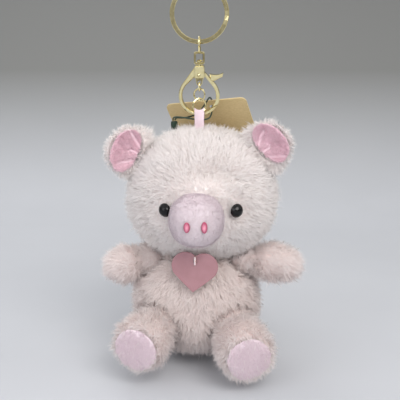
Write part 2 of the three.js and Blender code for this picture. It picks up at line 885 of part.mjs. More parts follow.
const lowerRadius = (lowerRing.outerDiameter - lowerRing.wire) / 2;
const lowerTop = upperMiddle - upperRadius + (upperRing.wire + lowerRing.wire) / 2 + clearance;
const lowerMiddle = lowerTop - lowerRadius;
const lowerMesh = piece("jump_ring_lower", jumpRing(lowerRing), finish.gold, pig);
lowerMesh.position.z = lowerMiddle;
lowerMesh.rotation.z = radians(lowerRing.yawDegrees);
const lowerWire = lowerMiddle - lowerRadius;

// Ribbon: a loop whose fold follows the lower ring's wire, with both ends sewn into the top of the head

const ribbonEnd = headTop - ribbon.sewnDepth;

function ribbonLoop() {
  const across = 6;
  const around = 12;
  const yaw = radians(lowerRing.yawDegrees);
  const foldRadius = ribbon.foldRadius + ribbon.thickness / 2;
  const shoulder = lowerWire + (lowerRing.wire / 2 + 1.7 * clearance) - ribbon.foldRadius;
  const parted = shoulder - ribbon.openLength;
  const legHalf = (ribbon.legGap + ribbon.thickness) / 2;
  // Each place along the ribbon: how far the ring's wire draws it aside, its y, its height, and its normal
  const stations = [];
  const leg = (side) => [
    { pull: 0, y: side * legHalf, z: ribbonEnd, ny: side, nz: 0 },
    { pull: 0, y: side * legHalf, z: headTop, ny: side, nz: 0 },
    { pull: 0.15, y: side * foldRadius * 0.9, z: parted, ny: side, nz: 0 },
    { pull: 0.5, y: side * foldRadius, z: (parted + shoulder) / 2, ny: side, nz: 0 },
  ];
  stations.push(...leg(-1));
  for (let i = 0; i <= around; i += 1) {
    const angle = Math.PI - (Math.PI * i) / around;
    const ny = Math.cos(angle);
    const nz = Math.sin(angle);
    stations.push({ pull: 1, y: foldRadius * ny, z: shoulder + foldRadius * nz, ny, nz });
  }
  stations.push(...leg(1).reverse());
  const loops = stations.map(({ pull, y, z, ny, nz }) => {
    const row = (offset) => Array.from({ length: across + 1 }, (_, i) => {
      const x = ribbon.width * (i / across - 1 / 2);
      const chord = x / Math.cos(yaw);
      const rise = lowerRadius - Math.sqrt(lowerRadius ** 2 - chord ** 2);
      return new THREE.Vector3(
        x,
        y + ny * offset + pull * x * Math.tan(yaw),
        z + nz * offset + pull * rise,
      );
    });
    return [...row(ribbon.thickness / 2), ...row(-ribbon.thickness / 2).reverse()];
  });
  return skin(loops);
}

piece("ribbon_loop", ribbonLoop(), finish.ribbonPink, pig);

// Head: one stuffed form, with a slot for the ribbon, a channel under each ear and a bore behind each eye

const headSolid = solid(plump(head));
const grownHead = solid(plump(head, clearance));

function eyePlace(side) {
  const x = head.centre.x + eye.aside + (side * eye.spacing) / 2;
  const z = head.centre.z - eye.drop;
  const y = frontOf(head, x, z);
  const inward = new THREE.Vector3(head.centre.x - x, head.centre.y - y, 0).normalize();
  return { x, y, z, inward };
}

// A shape made along z, with z pointing into the head, set at an eye.
function atEye(geometry, side) {
  const place = eyePlace(side);
  return aimed(geometry, place, place.inward);
}

function eyeBead(side) {
  const { domeRadius, domeHeight, shankRadius, shankLength } = eye;
  const ball = (domeRadius ** 2 + domeHeight ** 2) / (2 * domeHeight);
  const rim = THREE.MathUtils.radToDeg(Math.asin((ball - domeHeight) / ball));
  const profile = [
    ...arc(ball, ball - domeHeight - clearance, -90, -rim, 7),
    [shankRadius, -clearance],
    [shankRadius, shankLength - shankRadius],
    [shankRadius / 2, shankLength],
    [0, shankLength],
  ];
  return atEye(turned(profile, 16), side);
}

function eyeWasher(side) {
  const { washerRadius, washerThickness, washerDepth, shankRadius } = eye;
  const inner = shankRadius + clearance / 2;
  const profile = [
    [inner, washerDepth],
    [washerRadius, washerDepth],
    [washerRadius, washerDepth + washerThickness],
    [inner, washerDepth + washerThickness],
    [inner, washerDepth],
  ];
  return atEye(turned(profile, 16), side);
}

// The bore for the shank and the room for its washer, open to the front round the shank.
function eyeBore(side) {
  const { domeRadius, shankRadius, shankLength, washerRadius, washerThickness, washerDepth } = eye;
  const bore = shankRadius + 2 * clearance;
  const room = washerRadius + clearance;
  const profile = [
    [0, -domeRadius],
    [domeRadius + clearance, -domeRadius],
    [domeRadius + clearance, 0],
    [bore, 0],
    [bore, washerDepth - clearance],
    [room, washerDepth - clearance],
    [room, washerDepth + washerThickness + clearance],
    [bore, washerDepth + washerThickness + clearance],
    [bore, shankLength + clearance],
    [0, shankLength + clearance],
  ];
  return atEye(turned(profile, 16), side);
}

// An ear's own frame: x along its root, y through its thickness and z from root to tip.
// Its root lies just outside the head, at an angle round from the top.
function earFrame({ aroundDegrees, leanDegrees, turnDegrees, flopDegrees }) {
  const group = new THREE.Group();
  const aside = Math.sin(radians(aroundDegrees));
  const up = Math.cos(radians(aroundDegrees));
  const { centre, halfWidth, halfDepth, halfHeight, fullness } = head;
  const across = (Math.abs(aside) / halfWidth) ** fullness + (up / halfHeight) ** fullness;
  const left = 1 - (ear.forward / halfDepth) ** fullness;
  const reach = (left / across) ** (1 / fullness) + ear.stand;
  group.position.set(centre.x + reach * aside, centre.y - ear.forward, centre.z + reach * up);
  group.rotation.set(radians(flopDegrees), radians(leanDegrees), radians(turnDegrees), "ZYX");
  group.updateMatrix();
  return group;
}

function earRoot(radius, halfLength) {
  const geometry = new THREE.CapsuleGeometry(radius, 2 * halfLength, 4, 14);
  geometry.rotateZ(Math.PI / 2);
  return geometry;
}

function headBody() {
  const slot = box(
    ribbon.width + 2 * clearance,
    ribbon.legGap + 2 * ribbon.thickness + 2 * clearance,
    ribbon.sewnDepth + clearance + overrun,
    { x: 0, y: 0, z: headTop + (overrun - ribbon.sewnDepth - clearance) / 2 },
  );
  let body = headSolid.subtract(solid(slot));
  ears.forEach((place) => {
    const channel = earRoot(ear.rootRadius + clearance, ear.rootHalfLength);
    channel.applyMatrix4(earFrame(place).matrix);
    body = body.subtract(solid(channel));
  });
  [-1, 1].forEach((side) => {
    body = body.subtract(solid(eyeBore(side)));
  });
  return body;
}

piece("head", headBody(), finish.whiteFur, pig);
[
  ["left", -1],
  ["right", 1],
].forEach(([name, side]) => {
  piece("eye_" + name, eyeBead(side), finish.blackPlastic, pig);
  piece("eye_washer_" + name, eyeWasher(side), finish.clearPlastic, pig);
});

// Snout: a short round cushion on the face, with two stitched nostrils

const snoutSolid = solid(plump(snout))
  .subtract(grownHead)
  .subtract(solid(eyeBore(-1)))
  .subtract(solid(eyeBore(1)));
piece("snout", snoutSolid, finish.pinkPlush, pig);

function nostrilPad(side) {
  const x = snout.centre.x + nostril.aside + (side * nostril.spacing) / 2;
  const z = snout.centre.z - nostril.drop;
  const form = {
    centre: { x, y: frontOf(snout, x, z) - nostril.stand + nostril.sunk, z },
    halfWidth: nostril.halfWidth,
    halfDepth: nostril.sunk,
    halfHeight: nostril.halfHeight,
    fullness: 2,
    segments: 16,
    rings: 12,
  };
  return solid(plump(form)).subtract(solid(plump(snout, clearance)));
}

piece("nostril_left", nostrilPad(-1), finish.rosePink, pig);
piece("nostril_right", nostrilPad(1), finish.rosePink, pig);

// Ears: a rounded blade with a cupped front and a plush lining in the cup

function earBlade(grow = 0) {
  const form = {
    centre: { x: 0, y: 0, z: 0 },
    halfWidth: ear.halfWidth + grow,
    halfDepth: ear.halfThickness + grow,
    halfHeight: ear.length + grow,
    fullness: 2.3,
    segments: 18,
    rings: 14,
  };
  const below = box(4 * ear.halfWidth, 4 * ear.length, 2 * ear.length, { x: 0, y: 0, z: -ear.length });
  return solid(plump(form)).subtract(solid(below));
}

function earCup(forward, margin) {
  const ball = new THREE.SphereGeometry(ear.cupRadius, 24, 16);
  ball.translate(0, ear.cupDepth - ear.halfThickness - ear.cupRadius - forward, ear.length / 2);
  const shrink = ear.halfWidth - margin;
  const rim = turned(
    [
      [0, -ear.halfThickness - overrun],
      [shrink, -ear.halfThickness - overrun],
      [shrink, ear.halfThickness],
      [0, ear.halfThickness],
    ],
    20,
  );
  rim.rotateX(-Math.PI / 2);
  rim.scale(1, 1, (ear.length - 2 * margin) / 2 / shrink);
  rim.translate(0, 0, ear.length / 2);
  return solid(ball).intersect(solid(rim));
}

ears.forEach((place) => {
  const group = earFrame(place);
  pig.add(group);
  const headNear = plump(head, ear.foldRoom).applyMatrix4(group.matrix.clone().invert());
  const blade = earBlade()
    .subtract(solid(headNear))
    .add(solid(earRoot(ear.rootRadius, ear.rootHalfLength)))
    .subtract(earCup(0, ear.liningMargin - clearance));
  const lining = earCup(clearance, ear.liningMargin).subtract(earCup(clearance + ear.liningThickness, 0));
  piece("ear_" + place.side, blade, finish.whiteFur, group);
  piece("ear_lining_" + place.side, lining, finish.pinkPlush, group);
});

// Limbs: each root is a ball in a shallow dimple of the torso, so that the limb can swing

function armForm({ length }) {
  const { rootRadius, swellRadius, endRadius } = arm;
  const swellAt = length * 0.5;
  const endMiddle = length - endRadius;
  return turned(
    [
      ...arc(rootRadius, 0, -90, arm.shoulderDegrees, 6),
      [(rootRadius + swellRadius) / 2, swellAt * 0.72],
      [swellRadius, swellAt],
      [(swellRadius + endRadius) / 2 + (swellRadius - endRadius) / 4, (swellAt + endMiddle) / 2],
      ...arc(endRadius, endMiddle, 15, 90, 4),
    ],
    18,
  );
}

function legForm({ length }) {
  const { rootRadius, swellRadius, soleRadius, soleRound } = leg;
  return turned(
    [
      ...arc(rootRadius, 0, -90, leg.hipDegrees, 6),
      [(rootRadius + swellRadius) / 2, rootRadius * 0.95],
      [swellRadius, length * 0.62],
      [(swellRadius + soleRadius) / 2 + soleRound / 3, length - soleRound],
      [soleRadius, length],
      [0, length],
    ],
    20,
  );
}

function solePad({ length }) {
  const { soleRadius, padThickness, padCrown } = leg;
  const back = length + clearance;
  return turned(
    [
      [0, back],
      [soleRadius - padThickness / 2, back],
      [soleRadius, back + padThickness / 3],
      [soleRadius - padThickness / 2, back + padThickness * 0.8],
      [soleRadius * 0.6, back + padThickness + padCrown * 0.6],
      [0, back + padThickness + padCrown],
    ],
    20,
  );
}

// The room that the head needs to turn.
const headSweep = { ...head, halfDepth: head.halfWidth, segments: 20, rings: 14 };

function dimple(root, radius) {
  const ball = new THREE.SphereGeometry(radius * dimpleShare + clearance, 16, 12);
  ball.translate(root.x, root.y, root.z);
  return solid(ball);
}

// A limb keeps clear of the head and the torso, apart from its root ball.
function limbBody(form, rootRadius, root) {
  const rootSpace = new THREE.SphereGeometry(rootRadius * dimpleShare, 16, 10);
  rootSpace.translate(root.x, root.y, root.z);
  const torsoSpace = solid(plump({ ...torso, segments: 20, rings: 12 }, limbRoom)).subtract(solid(rootSpace));
  return solid(form)
    .subtract(torsoSpace)
    .subtract(solid(plump(headSweep, limbRoom)));
}

arms.forEach((limb) => {
  const form = aimed(armForm(limb), limb.root, limb.reachShares);
  piece("arm_" + limb.side, limbBody(form, arm.rootRadius, limb.root), finish.pinkFur, pig);
});
legs.forEach((limb) => {
  const form = aimed(legForm(limb), limb.root, limb.reachShares);
  piece("leg_" + limb.side, limbBody(form, leg.rootRadius, limb.root), finish.pinkFur, pig);
  piece("foot_pad_" + limb.side, aimed(solePad(limb), limb.root, limb.reachShares), finish.pinkPlush, pig);
});

// Torso: cut by the turning head above and by each limb's root, and flat where it sits

const seatHeight = torso.centre.z - torso.halfHeight + torso.seatDepth;
const anchor = { x: torso.centre.x + heartTag.aside, z: torso.centre.z + heartTag.rise };
const tagBack = frontOf(torso, anchor.x, anchor.z) - heartTag.stand;
const tagSlot = { x: anchor.x, z: anchor.z + tagPin.stemRise };

// The pin's stem slopes down from the heart's slot into the chest.
function pinStem(radius, length) {
  const lean = Math.atan2(tagPin.stemRise, heartTag.stand);
  const stem = crossPost(radius, length, 0, 0, 12);
  stem.translate(0, length / 2, 0);
  stem.rotateX(-lean);
  stem.translate(tagSlot.x, tagBack - heartTag.thickness / 2, tagSlot.z);
  return stem;
}

function torsoBody() {
  let body = solid(plump(torso)).subtract(solid(plump(headSweep, clearance)));
  arms.forEach((limb) => {
    body = body.subtract(dimple(limb.root, arm.rootRadius));
  });
  legs.forEach((limb) => {
    body = body.subtract(dimple(limb.root, leg.rootRadius));
  });
  const floor = box(4 * torso.halfWidth, 4 * torso.halfDepth, torso.halfHeight, {
    x: torso.centre.x,
    y: torso.centre.y,
    z: seatHeight - torso.halfHeight / 2,
  });
  const stemBore = pinStem(tagPin.stemRadius + clearance, tagPin.stemLength + clearance);
  return body.subtract(solid(floor)).subtract(solid(stemBore));
}

piece("torso", torsoBody(), finish.whiteFur, pig);

// Tail: a short curl behind

function curlyTail() {
  const { coilRadius, pitch, turns, thickness } = tail;
  const height = torso.centre.z - tail.drop;
  const back = torso.centre.y + torso.halfDepth + thickness / 2 - overrun;
  const route = new Route((share) => {
    const angle = 2 * Math.PI * turns * share;
    return new THREE.Vector3(
      torso.centre.x + coilRadius * Math.sin(angle),
      back + pitch * turns * share,
      height - coilRadius * (1 - Math.cos(angle)),
    );
  });
  return solid(tube(route, thickness, 12)).subtract(solid(plump(torso, clearance)));
}

piece("tail", curlyTail(), finish.pinkPlush, pig);

// Heart tag: a plate that hangs from a plastic pin under the chin

function heartPlate() {
  const { width, height, thickness, slotBelowTop, lobeShare, sideShares } = heartTag;
  const lobe = width * lobeShare;
  const across = width / 2 - lobe;
  const top = slotBelowTop - lobe;
  const notch = Math.acos(across / lobe);
  const turn = radians(38);
  const side = { x: width * sideShares.x, z: slotBelowTop - height * sideShares.z };
  const shape = new THREE.Shape();
  shape.moveTo(0, slotBelowTop - height);
  shape.quadraticCurveTo(side.x, side.z, across + lobe * Math.cos(turn), top - lobe * Math.sin(turn));
  shape.absarc(across, top, lobe, -turn, Math.PI - notch, false);
  shape.absarc(-across, top, lobe, notch, Math.PI + turn, false);
  shape.quadraticCurveTo(-side.x, side.z, 0, slotBelowTop - height);
  const hole = new THREE.Path();
  hole.absarc(0, 0, heartTag.slotRadius, 0, 2 * Math.PI, true);
  shape.holes.push(hole);
  return frontal(shape, thickness, thickness / 5, 8);
}

const tagMesh = piece("heart_tag", heartPlate(), finish.duskyLeather, pig);
tagMesh.position.set(tagSlot.x, tagBack - heartTag.thickness / 2, tagSlot.z);
tagMesh.rotation.set(radians(-heartTag.leanDegrees), radians(-heartTag.rollDegrees), 0);

function pinForm() {
  const { stemRadius, stemLength, barRadius, barLength } = tagPin;
  const reach = heartTag.thickness / 2 + 2 * clearance + barRadius;
  const lean = Math.atan2(tagPin.stemRise, heartTag.stand);
  const bar = new THREE.CapsuleGeometry(barRadius, barLength - 2 * barRadius, 4, 10);
  bar.rotateX(Math.PI / 2);
  bar.translate(tagSlot.x, tagBack - heartTag.thickness / 2 - reach, tagSlot.z + reach * Math.tan(lean));
  const stem = pinStem(stemRadius, stemLength + reach / Math.cos(lean));
  stem.translate(0, -reach, reach * Math.tan(lean));
  return joined(bar, stem);
}

piece("tag_pin", pinForm(), finish.clearPlastic, pig);

// Hang tag: a card that leans on the back of the head, its string and the lock that closes the string

function cardPlate() {
  const { width, height, thickness, corner, holeRadius, holeBelowTop, holeAside } = hangTag;
  const middle = { x: -holeAside, y: holeBelowTop - height / 2 };
  const shape = roundedRectangle(width, height, corner, middle);
  const hole = new THREE.Path();
  hole.absarc(0, 0, holeRadius, 0, 2 * Math.PI, true);
  shape.holes.push(hole);
  return frontal(shape, thickness, 0, 8);
}

// How far the card leans back from its hole before it rests on the head.
function restingLean() {
  const { place, thickness, width, height, yawDegrees } = hangTag;
  const form = plump(head, clearance + thickness / 2);
  form.translate(-place.x, -place.y, -place.z);
  form.rotateZ(-radians(yawDegrees));
  const point = new THREE.Vector3();
  let lean = 0;
  for (let i = 0; i < form.attributes.position.count; i += 1) {
    point.fromBufferAttribute(form.attributes.position, i);
    const near = Math.abs(point.x) < width && Math.hypot(point.y, point.z) < height;
    if (near && point.y > 0) lean = Math.max(lean, Math.atan2(point.y, -point.z));
  }
  return lean;
}

const cardMesh = piece("hang_tag", cardPlate(), finish.kraftCard, pig);
cardMesh.position.set(hangTag.place.x, hangTag.place.y, hangTag.place.z);
cardMesh.rotation.set(restingLean(), radians(-hangTag.rollDegrees), radians(hangTag.yawDegrees), "ZXY");

const route = new THREE.CatmullRomCurve3(stringRoute.map((place) => new THREE.Vector3(...place)));
piece("tag_string", tube(route, tagString.diameter, tagString.steps, tagString.sides), finish.greenCord, pig);

function lockForm() {
  const { radius, length } = stringLock;
  return turned(
    [
      ...arc(radius, radius - length, -90, 0, 5),
      [radius, -radius / 3],
      [radius * 0.8, 0],
      [0, 0],
    ],
    18,
  );
}

const lockMesh = piece("string_lock", lockForm(), finish.greenCord, pig);
lockMesh.position.set(stringLock.place.x, stringLock.place.y, stringLock.place.z);

export default pig;
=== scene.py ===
import math

import bmesh
import bpy
import numpy as np
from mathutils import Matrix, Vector, kdtree, noise


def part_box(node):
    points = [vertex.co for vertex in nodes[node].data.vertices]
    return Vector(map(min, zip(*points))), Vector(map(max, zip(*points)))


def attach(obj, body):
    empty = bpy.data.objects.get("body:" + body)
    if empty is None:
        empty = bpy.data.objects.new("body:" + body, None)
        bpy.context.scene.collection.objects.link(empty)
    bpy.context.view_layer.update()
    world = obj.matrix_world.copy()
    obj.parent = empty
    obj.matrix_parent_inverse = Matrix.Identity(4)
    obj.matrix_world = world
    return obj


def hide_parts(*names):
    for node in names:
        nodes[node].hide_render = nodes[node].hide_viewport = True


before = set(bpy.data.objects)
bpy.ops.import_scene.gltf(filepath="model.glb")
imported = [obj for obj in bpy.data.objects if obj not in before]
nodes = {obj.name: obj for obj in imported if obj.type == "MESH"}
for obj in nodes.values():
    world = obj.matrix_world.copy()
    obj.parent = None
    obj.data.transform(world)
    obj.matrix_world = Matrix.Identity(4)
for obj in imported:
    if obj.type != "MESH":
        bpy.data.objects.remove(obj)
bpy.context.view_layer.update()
mm = 0.001
# Both sources of random values are seeded, so that every run gives the same object
firstSeed = 23
chance = np.random.default_rng(firstSeed)
noise.seed_set(firstSeed)


# An sRGB hex colour as the linear colour that a socket takes
def tint(code):
    parts = [int(code[i:i + 2], 16) / 255 for i in (0, 2, 4)]
    return [p / 12.92 if p <= 0.04045 else ((p + 0.055) / 1.055) ** 2.4 for p in parts] + [1]


# Adds a node, whose inputs are either set or linked from a socket, and hands back one of its outputs
def addNode(tree, kind, inputs=None, output=0, **settings):
    node = tree.nodes.new(kind)
    for name, value in settings.items():
        setattr(node, name, value)
    for name, value in (inputs or {}).items():
        socket = node.inputs[name]
        if isinstance(value, bpy.types.NodeSocket):
            tree.links.new(value, socket)
        else:
            socket.default_value = value
    if node.outputs:
        return node.outputs[output]


def newMaterial(name):
    material = bpy.data.materials.new(name)
    material.use_nodes = True
    tree = material.node_tree
    tree.nodes.clear()
    return material, tree, addNode(tree, "ShaderNodeTexCoord", output="Object")


def finished(material, shader):
    addNode(material.node_tree, "ShaderNodeOutputMaterial", {"Surface": shader})
    return material


def addObject(name, data):
    made = bpy.data.objects.new(name, data)
    bpy.context.scene.collection.objects.link(made)
    return made


# Camera at the photograph's angle, in degrees round the object and up from level
camera = {
    "target": (0.0003, 0, -0.0958), "distance": 0.38, "azimuth": 4, "elevation": 12,
    "widthAtTarget": 0.2121, "sensorWidth": 36, "nearest": 0.01, "furthest": 20,
}
across, up = math.radians(camera["azimuth"]), math.radians(camera["elevation"])
backward = Vector((math.sin(across) * math.cos(up), -math.cos(across) * math.cos(up), math.sin(up)))
cameraData = bpy.data.cameras.new("camera")
cameraData.sensor_width = camera["sensorWidth"]
cameraData.lens = camera["sensorWidth"] * camera["distance"] / camera["widthAtTarget"]
cameraData.clip_start, cameraData.clip_end = camera["nearest"], camera["furthest"]
cameraObject = addObject("camera", cameraData)
cameraObject.location = Vector(camera["target"]) + backward * camera["distance"]
cameraObject.rotation_mode = "QUATERNION"
cameraObject.rotation_quaternion = (-backward).to_track_quat("-Z", "Y")
bpy.context.scene.camera = cameraObject
print("camera made")


def shadeSmooth(mesh):
    mesh.polygons.foreach_set("use_smooth", np.ones(len(mesh.polygons), bool))


def addPiece(name, data, material):
    data.materials.clear()
    data.materials.append(material)
    shadeSmooth(data)
    return addObject(name, data)


def fromBmesh(name, shape, material):
    data = bpy.data.meshes.new(name)
    bmesh.ops.recalc_face_normals(shape, faces=shape.faces)
    shape.to_mesh(data)
    shape.free()
    return addPiece(name, data, material)


# The object's mesh with its modifiers applied
def applied(made):
    graph = bpy.context.evaluated_depsgraph_get()
    final = bpy.data.meshes.new_from_object(made.evaluated_get(graph))
    made.modifiers.clear()
    made.data = final
    return made


def pointsOf(mesh):
    places = np.empty(len(mesh.vertices) * 3, np.float32)
    mesh.vertices.foreach_get("co", places)
    return places.reshape(-1, 3).astype(float)


def movePoints(mesh, places):
    mesh.vertices.foreach_set("co", places.astype(np.float32).reshape(-1))
    mesh.update()


def normalsOf(mesh):
    normals = np.empty(len(mesh.vertices) * 3, np.float32)
    mesh.vertices.foreach_get("normal", normals)
    return normals.reshape(-1, 3).astype(float)


def trianglesOf(mesh):
    mesh.calc_loop_triangles()
    corners = np.empty(len(mesh.loop_triangles) * 3, np.int32)
    mesh.loop_triangles.foreach_get("vertices", corners)
    return corners.reshape(-1, 3)


def setAttribute(mesh, name, values):
    mesh.attributes.new(name, "FLOAT", "POINT").data.foreach_set("value", values.astype(np.float32))


# Stands in for a length of zero where one is divided by
tiny = 1e-12


def unit(vectors):
    return vectors / np.maximum(np.linalg.norm(vectors, axis=-1, keepdims=True), tiny)


def smoothStep(value, low, high):
    t = np.clip((value - low) / (high - low), 0, 1)
    return t * t * (3 - 2 * t)


def distanceTo(places, centre):
    return np.linalg.norm(places - np.asarray(centre), axis=1)


# How far each seed moves the noise along each axis, so that no two seeds share a pattern
seedShift = (3.7, 1.3, 2.1)


# A smooth random vector, between -1 and 1 on each axis, at each place
def wander(places, size, seed):
    shift = Vector([seed * s for s in seedShift])
    return np.array([noise.noise_vector(Vector(p) / size + shift) for p in places])


# The sockets that a Mix node shows for colours
mixShare, mixFirst, mixSecond, mixResult = 0, 6, 7, 2


# Champagne-gold plating on zinc: polished, with faint rubbing that blurs the gloss in patches 1.6 mm wide
def goldPlating():
    material, tree, where = newMaterial("champagneGoldPlating")
    rub = addNode(tree, "ShaderNodeTexNoise", {"Vector": where, "Scale": 1 / (1.6 * mm), "Detail": 3})
    fine = addNode(tree, "ShaderNodeTexNoise", {"Vector": where, "Scale": 1 / (0.25 * mm), "Detail": 2})
    colour = addNode(tree, "ShaderNodeMix", {
        mixShare: rub, mixFirst: tint("d6c78c"), mixSecond: tint("f2e9bd"),
    }, mixResult, data_type="RGBA")
    gloss = addNode(tree, "ShaderNodeMapRange", {
        "Value": rub, "From Min": 0.3, "From Max": 0.7, "To Min": 0.08, "To Max": 0.2,
    })
    relief = addNode(tree, "ShaderNodeBump", {"Height": fine, "Distance": 0.02 * mm, "Strength": 0.35})
    return finished(material, addNode(tree, "ShaderNodeBsdfPrincipled", {
        "Base Color": colour, "Metallic": 1.0, "Roughness": gloss, "Normal": relief,
    }))


# Moulded black acrylic of a bead eye: a hard mirror-like gloss
def eyePlastic():
    material, tree, where = newMaterial("mouldedBlackAcrylic")
    haze = addNode(tree, "ShaderNodeTexNoise", {"Vector": where, "Scale": 1 / (2 * mm), "Detail": 3})
    colour = addNode(tree, "ShaderNodeMix", {
        mixShare: haze, mixFirst: tint("020203"), mixSecond: tint("0a090b"),
    }, mixResult, data_type="RGBA")
    gloss = addNode(tree, "ShaderNodeMapRange", {
        "Value": haze, "From Min": 0.3, "From Max": 0.7, "To Min": 0.04, "To Max": 0.1,
    })
    return finished(material, addNode(tree, "ShaderNodeBsdfPrincipled", {
        "Base Color": colour, "Roughness": gloss, "IOR": 1.49, "Specular IOR Level": 0.35,
    }))


# Milky moulded nylon of the tag's pin and the eyes' washers: soft light passes a little way in
def milkyNylon():
    material, tree, where = newMaterial("milkyMouldedNylon")
    cloud = addNode(tree, "ShaderNodeTexNoise", {"Vector": where, "Scale": 1 / (1.5 * mm), "Detail": 3})
    colour = addNode(tree, "ShaderNodeMix", {
        mixShare: cloud, mixFirst: tint("decbc6"), mixSecond: tint("f6ecea"),
    }, mixResult, data_type="RGBA")
    gloss = addNode(tree, "ShaderNodeMapRange", {
        "Value": cloud, "From Min": 0.3, "From Max": 0.7, "To Min": 0.28, "To Max": 0.42,
    })
    return finished(material, addNode(tree, "ShaderNodeBsdfPrincipled", {
        "Base Color": colour, "Roughness": gloss, "IOR": 1.53, "Subsurface Weight": 0.3,
        "Subsurface Scale": 0.6 * mm,
    }))


# Embossed polyurethane imitation leather, dusky rose: a fine pebble grain 0.45 mm wide under a satin coat
def tagLeather():
    material, tree, where = newMaterial("embossedRoseImitationLeather")
    patch = addNode(tree, "ShaderNodeTexNoise", {"Vector": where, "Scale": 1 / (6 * mm), "Detail": 3})
    pebble = addNode(tree, "ShaderNodeTexVoronoi", {"Vector": where, "Scale": 1 / (0.45 * mm)})
    grain = addNode(tree, "ShaderNodeTexNoise", {"Vector": where, "Scale": 1 / (0.3 * mm), "Detail": 2})
    height = addNode(tree, "ShaderNodeMath", {0: pebble, 1: grain}, operation="ADD")
    colour = addNode(tree, "ShaderNodeMix", {
        mixShare: patch, mixFirst: tint("a1747a"), mixSecond: tint("b5898f"),
    }, mixResult, data_type="RGBA")
    gloss = addNode(tree, "ShaderNodeMapRange", {
        "Value": grain, "From Min": 0.3, "From Max": 0.7, "To Min": 0.32, "To Max": 0.46,
    })
    relief = addNode(tree, "ShaderNodeBump", {"Height": height, "Distance": 0.04 * mm, "Strength": 0.6})
    return finished(material, addNode(tree, "ShaderNodeBsdfPrincipled", {
        "Base Color": colour, "Roughness": gloss, "Coat Weight": 0.25, "Coat Roughness": 0.2,
        "Normal": relief,
    }))


# Uncoated kraft board: matt pressed fibres, with darker and lighter flecks 0.4 mm wide along the sheet
def kraftBoard():
    material, tree, where = newMaterial("uncoatedKraftBoard")
    drawn = addNode(tree, "ShaderNodeMapping", {"Vector": where, "Scale": (0.3, 1, 1)})
    cloud = addNode(tree, "ShaderNodeTexNoise", {"Vector": where, "Scale": 1 / (9 * mm), "Detail": 4})
    fibre = addNode(tree, "ShaderNodeTexNoise", {"Vector": drawn, "Scale": 1 / (0.4 * mm), "Detail": 4})
    broad = addNode(tree, "ShaderNodeMix", {
        mixShare: cloud, mixFirst: tint("cbb27c"), mixSecond: tint("dfc996"),
    }, mixResult, data_type="RGBA")
    fleck = addNode(tree, "ShaderNodeMix", {
        mixShare: fibre, mixFirst: tint("a88d58"), mixSecond: tint("fbe8b8"),
    }, mixResult, data_type="RGBA")
    colour = addNode(tree, "ShaderNodeMix", {
        mixShare: 0.5, mixFirst: broad, mixSecond: fleck,
    }, mixResult, data_type="RGBA")
    gloss = addNode(tree, "ShaderNodeMapRange", {
        "Value": fibre, "From Min": 0.3, "From Max": 0.7, "To Min": 0.72, "To Max": 0.9,
    })
    relief = addNode(tree, "ShaderNodeBump", {"Height": fibre, "Distance": 0.04 * mm, "Strength": 0.6})
    return finished(material, addNode(tree, "ShaderNodeBsdfPrincipled", {
        "Base Color": colour, "Roughness": gloss, "Normal": relief,
    }))


# Waxed polyester cord, dark green: twisted plies with a dull shine and fibres 0.2 mm wide
def waxedCord():
    material, tree, where = newMaterial("waxedGreenPolyesterCord")
    fibre = addNode(tree, "ShaderNodeTexNoise", {"Vector": where, "Scale": 1 / (0.2 * mm), "Detail": 3})
    patch = addNode(tree, "ShaderNodeTexNoise", {"Vector": where, "Scale": 1 / (4 * mm), "Detail": 2})
    both = addNode(tree, "ShaderNodeMath", {0: fibre, 1: patch}, operation="MULTIPLY")
    share = addNode(tree, "ShaderNodeMapRange", {"Value": both, "From Min": 0.12, "From Max": 0.4})
    colour = addNode(tree, "ShaderNodeMix", {
        mixShare: share, mixFirst: tint("0f2418"), mixSecond: tint("2c4b37"),
    }, mixResult, data_type="RGBA")
    gloss = addNode(tree, "ShaderNodeMapRange", {
        "Value": fibre, "From Min": 0.3, "From Max": 0.7, "To Min": 0.48, "To Max": 0.7,
    })
    relief = addNode(tree, "ShaderNodeBump", {"Height": fibre, "Distance": 0.05 * mm, "Strength": 0.5})
    return finished(material, addNode(tree, "ShaderNodeBsdfPrincipled", {
        "Base Color": colour, "Roughness": gloss, "Sheen Weight": 0.2, "Normal": relief,
    }))


# Moulded polypropylene of the string's lock, dark green: a waxy half gloss
def lockPlastic():
    material, tree, where = newMaterial("mouldedGreenPolypropylene")
    haze = addNode(tree, "ShaderNodeTexNoise", {"Vector": where, "Scale": 1 / (0.8 * mm), "Detail": 3})
    colour = addNode(tree, "ShaderNodeMix", {
        mixShare: haze, mixFirst: tint("102618"), mixSecond: tint("1f3b29"),
    }, mixResult, data_type="RGBA")
    gloss = addNode(tree, "ShaderNodeMapRange", {
        "Value": haze, "From Min": 0.3, "From Max": 0.7, "To Min": 0.28, "To Max": 0.42,
    })
    relief = addNode(tree, "ShaderNodeBump", {"Height": haze, "Distance": 0.02 * mm, "Strength": 0.3})
    return finished(material, addNode(tree, "ShaderNodeBsdfPrincipled", {
        "Base Color": colour, "Roughness": gloss, "IOR": 1.49, "Normal": relief,
    }))


